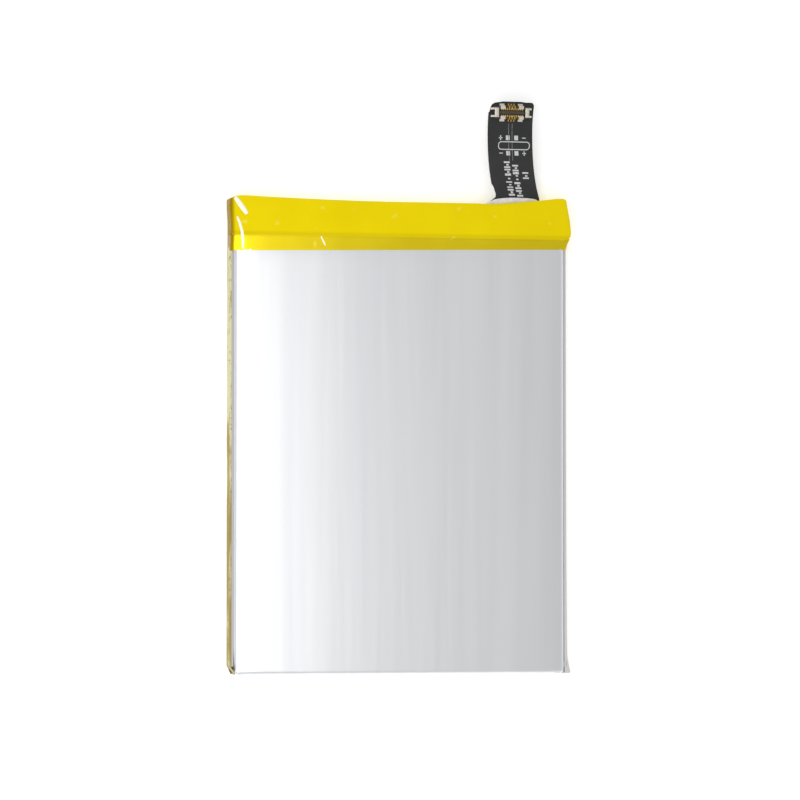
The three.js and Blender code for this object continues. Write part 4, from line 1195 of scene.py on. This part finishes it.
# %% Nails
NAIL_BAR = 0.72 * MM
NAIL_HALF = 0.85 * MM
NAIL_FEET = 0.62 * MM
NAIL_INSET = 0.12 * MM
NAIL_THICK = 0.10 * MM
NAIL_GAP_HALF = 0.5 * MM
NAIL_DROP = 0.75 * MM
CREST = 0.52 * MM
housing_low, housing_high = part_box("connector_housing")
base = (housing_low + housing_high) / 2
HOUSING_HALF = (housing_high.x - housing_low.x) / 2


def onto_head(piece):
    """Puts a piece that was drawn about the origin on the connector, sloped as the head is."""
    piece.matrix_world = Matrix.Translation(base) @ Matrix.Rotation(HEAD_SLOPE, 4, "X")
    bpy.ops.object.transform_apply(location=True, rotation=True, scale=True)


def nail(name, side, node):
    """The bent metal nail at one end of the connector."""
    inner = side * (HOUSING_HALF - NAIL_BAR - NAIL_INSET)
    outer = inner + side * NAIL_BAR
    piece = start_block(name, (min(inner, outer), -NAIL_HALF, CREST - NAIL_THICK),
                        (max(inner, outer), NAIL_HALF, CREST))
    cut(piece, 1, [-NAIL_GAP_HALF, NAIL_GAP_HALF])
    pick(piece, "FACE", lambda middle, facing: facing.x * side > 0.9
         and abs(middle.y) > NAIL_GAP_HALF)
    bpy.ops.mesh.extrude_region_move(TRANSFORM_OT_translate={"value": (side * NAIL_FEET, 0, 0)})
    move(piece, lambda middle, facing: middle.x * side > HOUSING_HALF + NAIL_FEET / 2,
         (0, 0, -NAIL_DROP))
    apply_modifier(piece, "BEVEL", width=0.04 * MM, segments=2, limit_method="ANGLE")
    onto_head(piece)
    dress(piece, tinned, 35)
    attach(piece, "connector_head")
    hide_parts(node)


# %% [markdown]
# Between the nails run two rows of fine plated contacts. One bar is added at an end of each
# row, and an Array modifier repeats it at the pitch.

# %% Contact rows
PITCH = 0.35 * MM
BARS = 12
BAR_HALF = 0.09 * MM
BAR_REACH = 0.2 * MM
ROW_PLACE = 0.62 * MM
BAR_LOW, BAR_HIGH = CREST - 0.2 * MM, CREST - 0.02 * MM


def contact_row(name, side):
    """A row of contact ends along one long side of the connector."""
    first = -PITCH * (BARS - 1) / 2
    piece = start_block(name, (first - BAR_HALF, side * ROW_PLACE - BAR_REACH, BAR_LOW),
                        (first + BAR_HALF, side * ROW_PLACE + BAR_REACH, BAR_HIGH))
    apply_modifier(piece, "BEVEL", width=0.05 * MM, segments=2, limit_method="ANGLE")
    apply_modifier(piece, "ARRAY", count=BARS, use_relative_offset=False,
                   use_constant_offset=True, constant_offset_displace=(PITCH, 0, 0))
    onto_head(piece)
    dress(piece, gold, 35)
    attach(piece, "connector_head")


contact_row("contacts_far", 1)
contact_row("contacts_near", -1)

# %% Both nails
nail("nail_left", -1, "hold_down_left")
nail("nail_right", 1, "hold_down_right")

# %% [markdown]
# ## What is kept from the design
# The pieces inside, the connector's housing and its contacts have their real shape already,
# so they only get a finish each. A finish goes to every piece whose name holds its key, and
# the longest key wins.

# %% Finishes of the design's own pieces
KEPT = {
    "inner_separator": separator, "outer_separator": separator, "anode_strip": graphite,
    "cathode_strip": oxide, "roll_end_tape": roll_tape, "positive_tab": aluminium,
    "negative_tab": nickel, "positive_plate": nickel, "negative_plate": nickel,
    "tab_film": sealant, "paper": paper, "foam_pad": foam, "pcm_board": board,
    "mosfet": chip, "protection_ic": chip, "fuse": fuse_body, "thermistor": dark_ceramic,
    "resistor": dark_ceramic, "capacitor": tan_ceramic, "head_stiffener": glass_board,
    "connector_housing": moulding, "hold_down": tinned, "power_contact": tinned,
    "signal_contact": gold,
}
for name, node in frame["nodes"].items():
    matches = [key for key in KEPT if key in name]
    if matches and not node.hide_render:
        node.data.materials.clear()
        node.data.materials.append(KEPT[max(matches, key=len)])
print(sum(not node.hide_render for node in frame["nodes"].values()), "nodes kept")
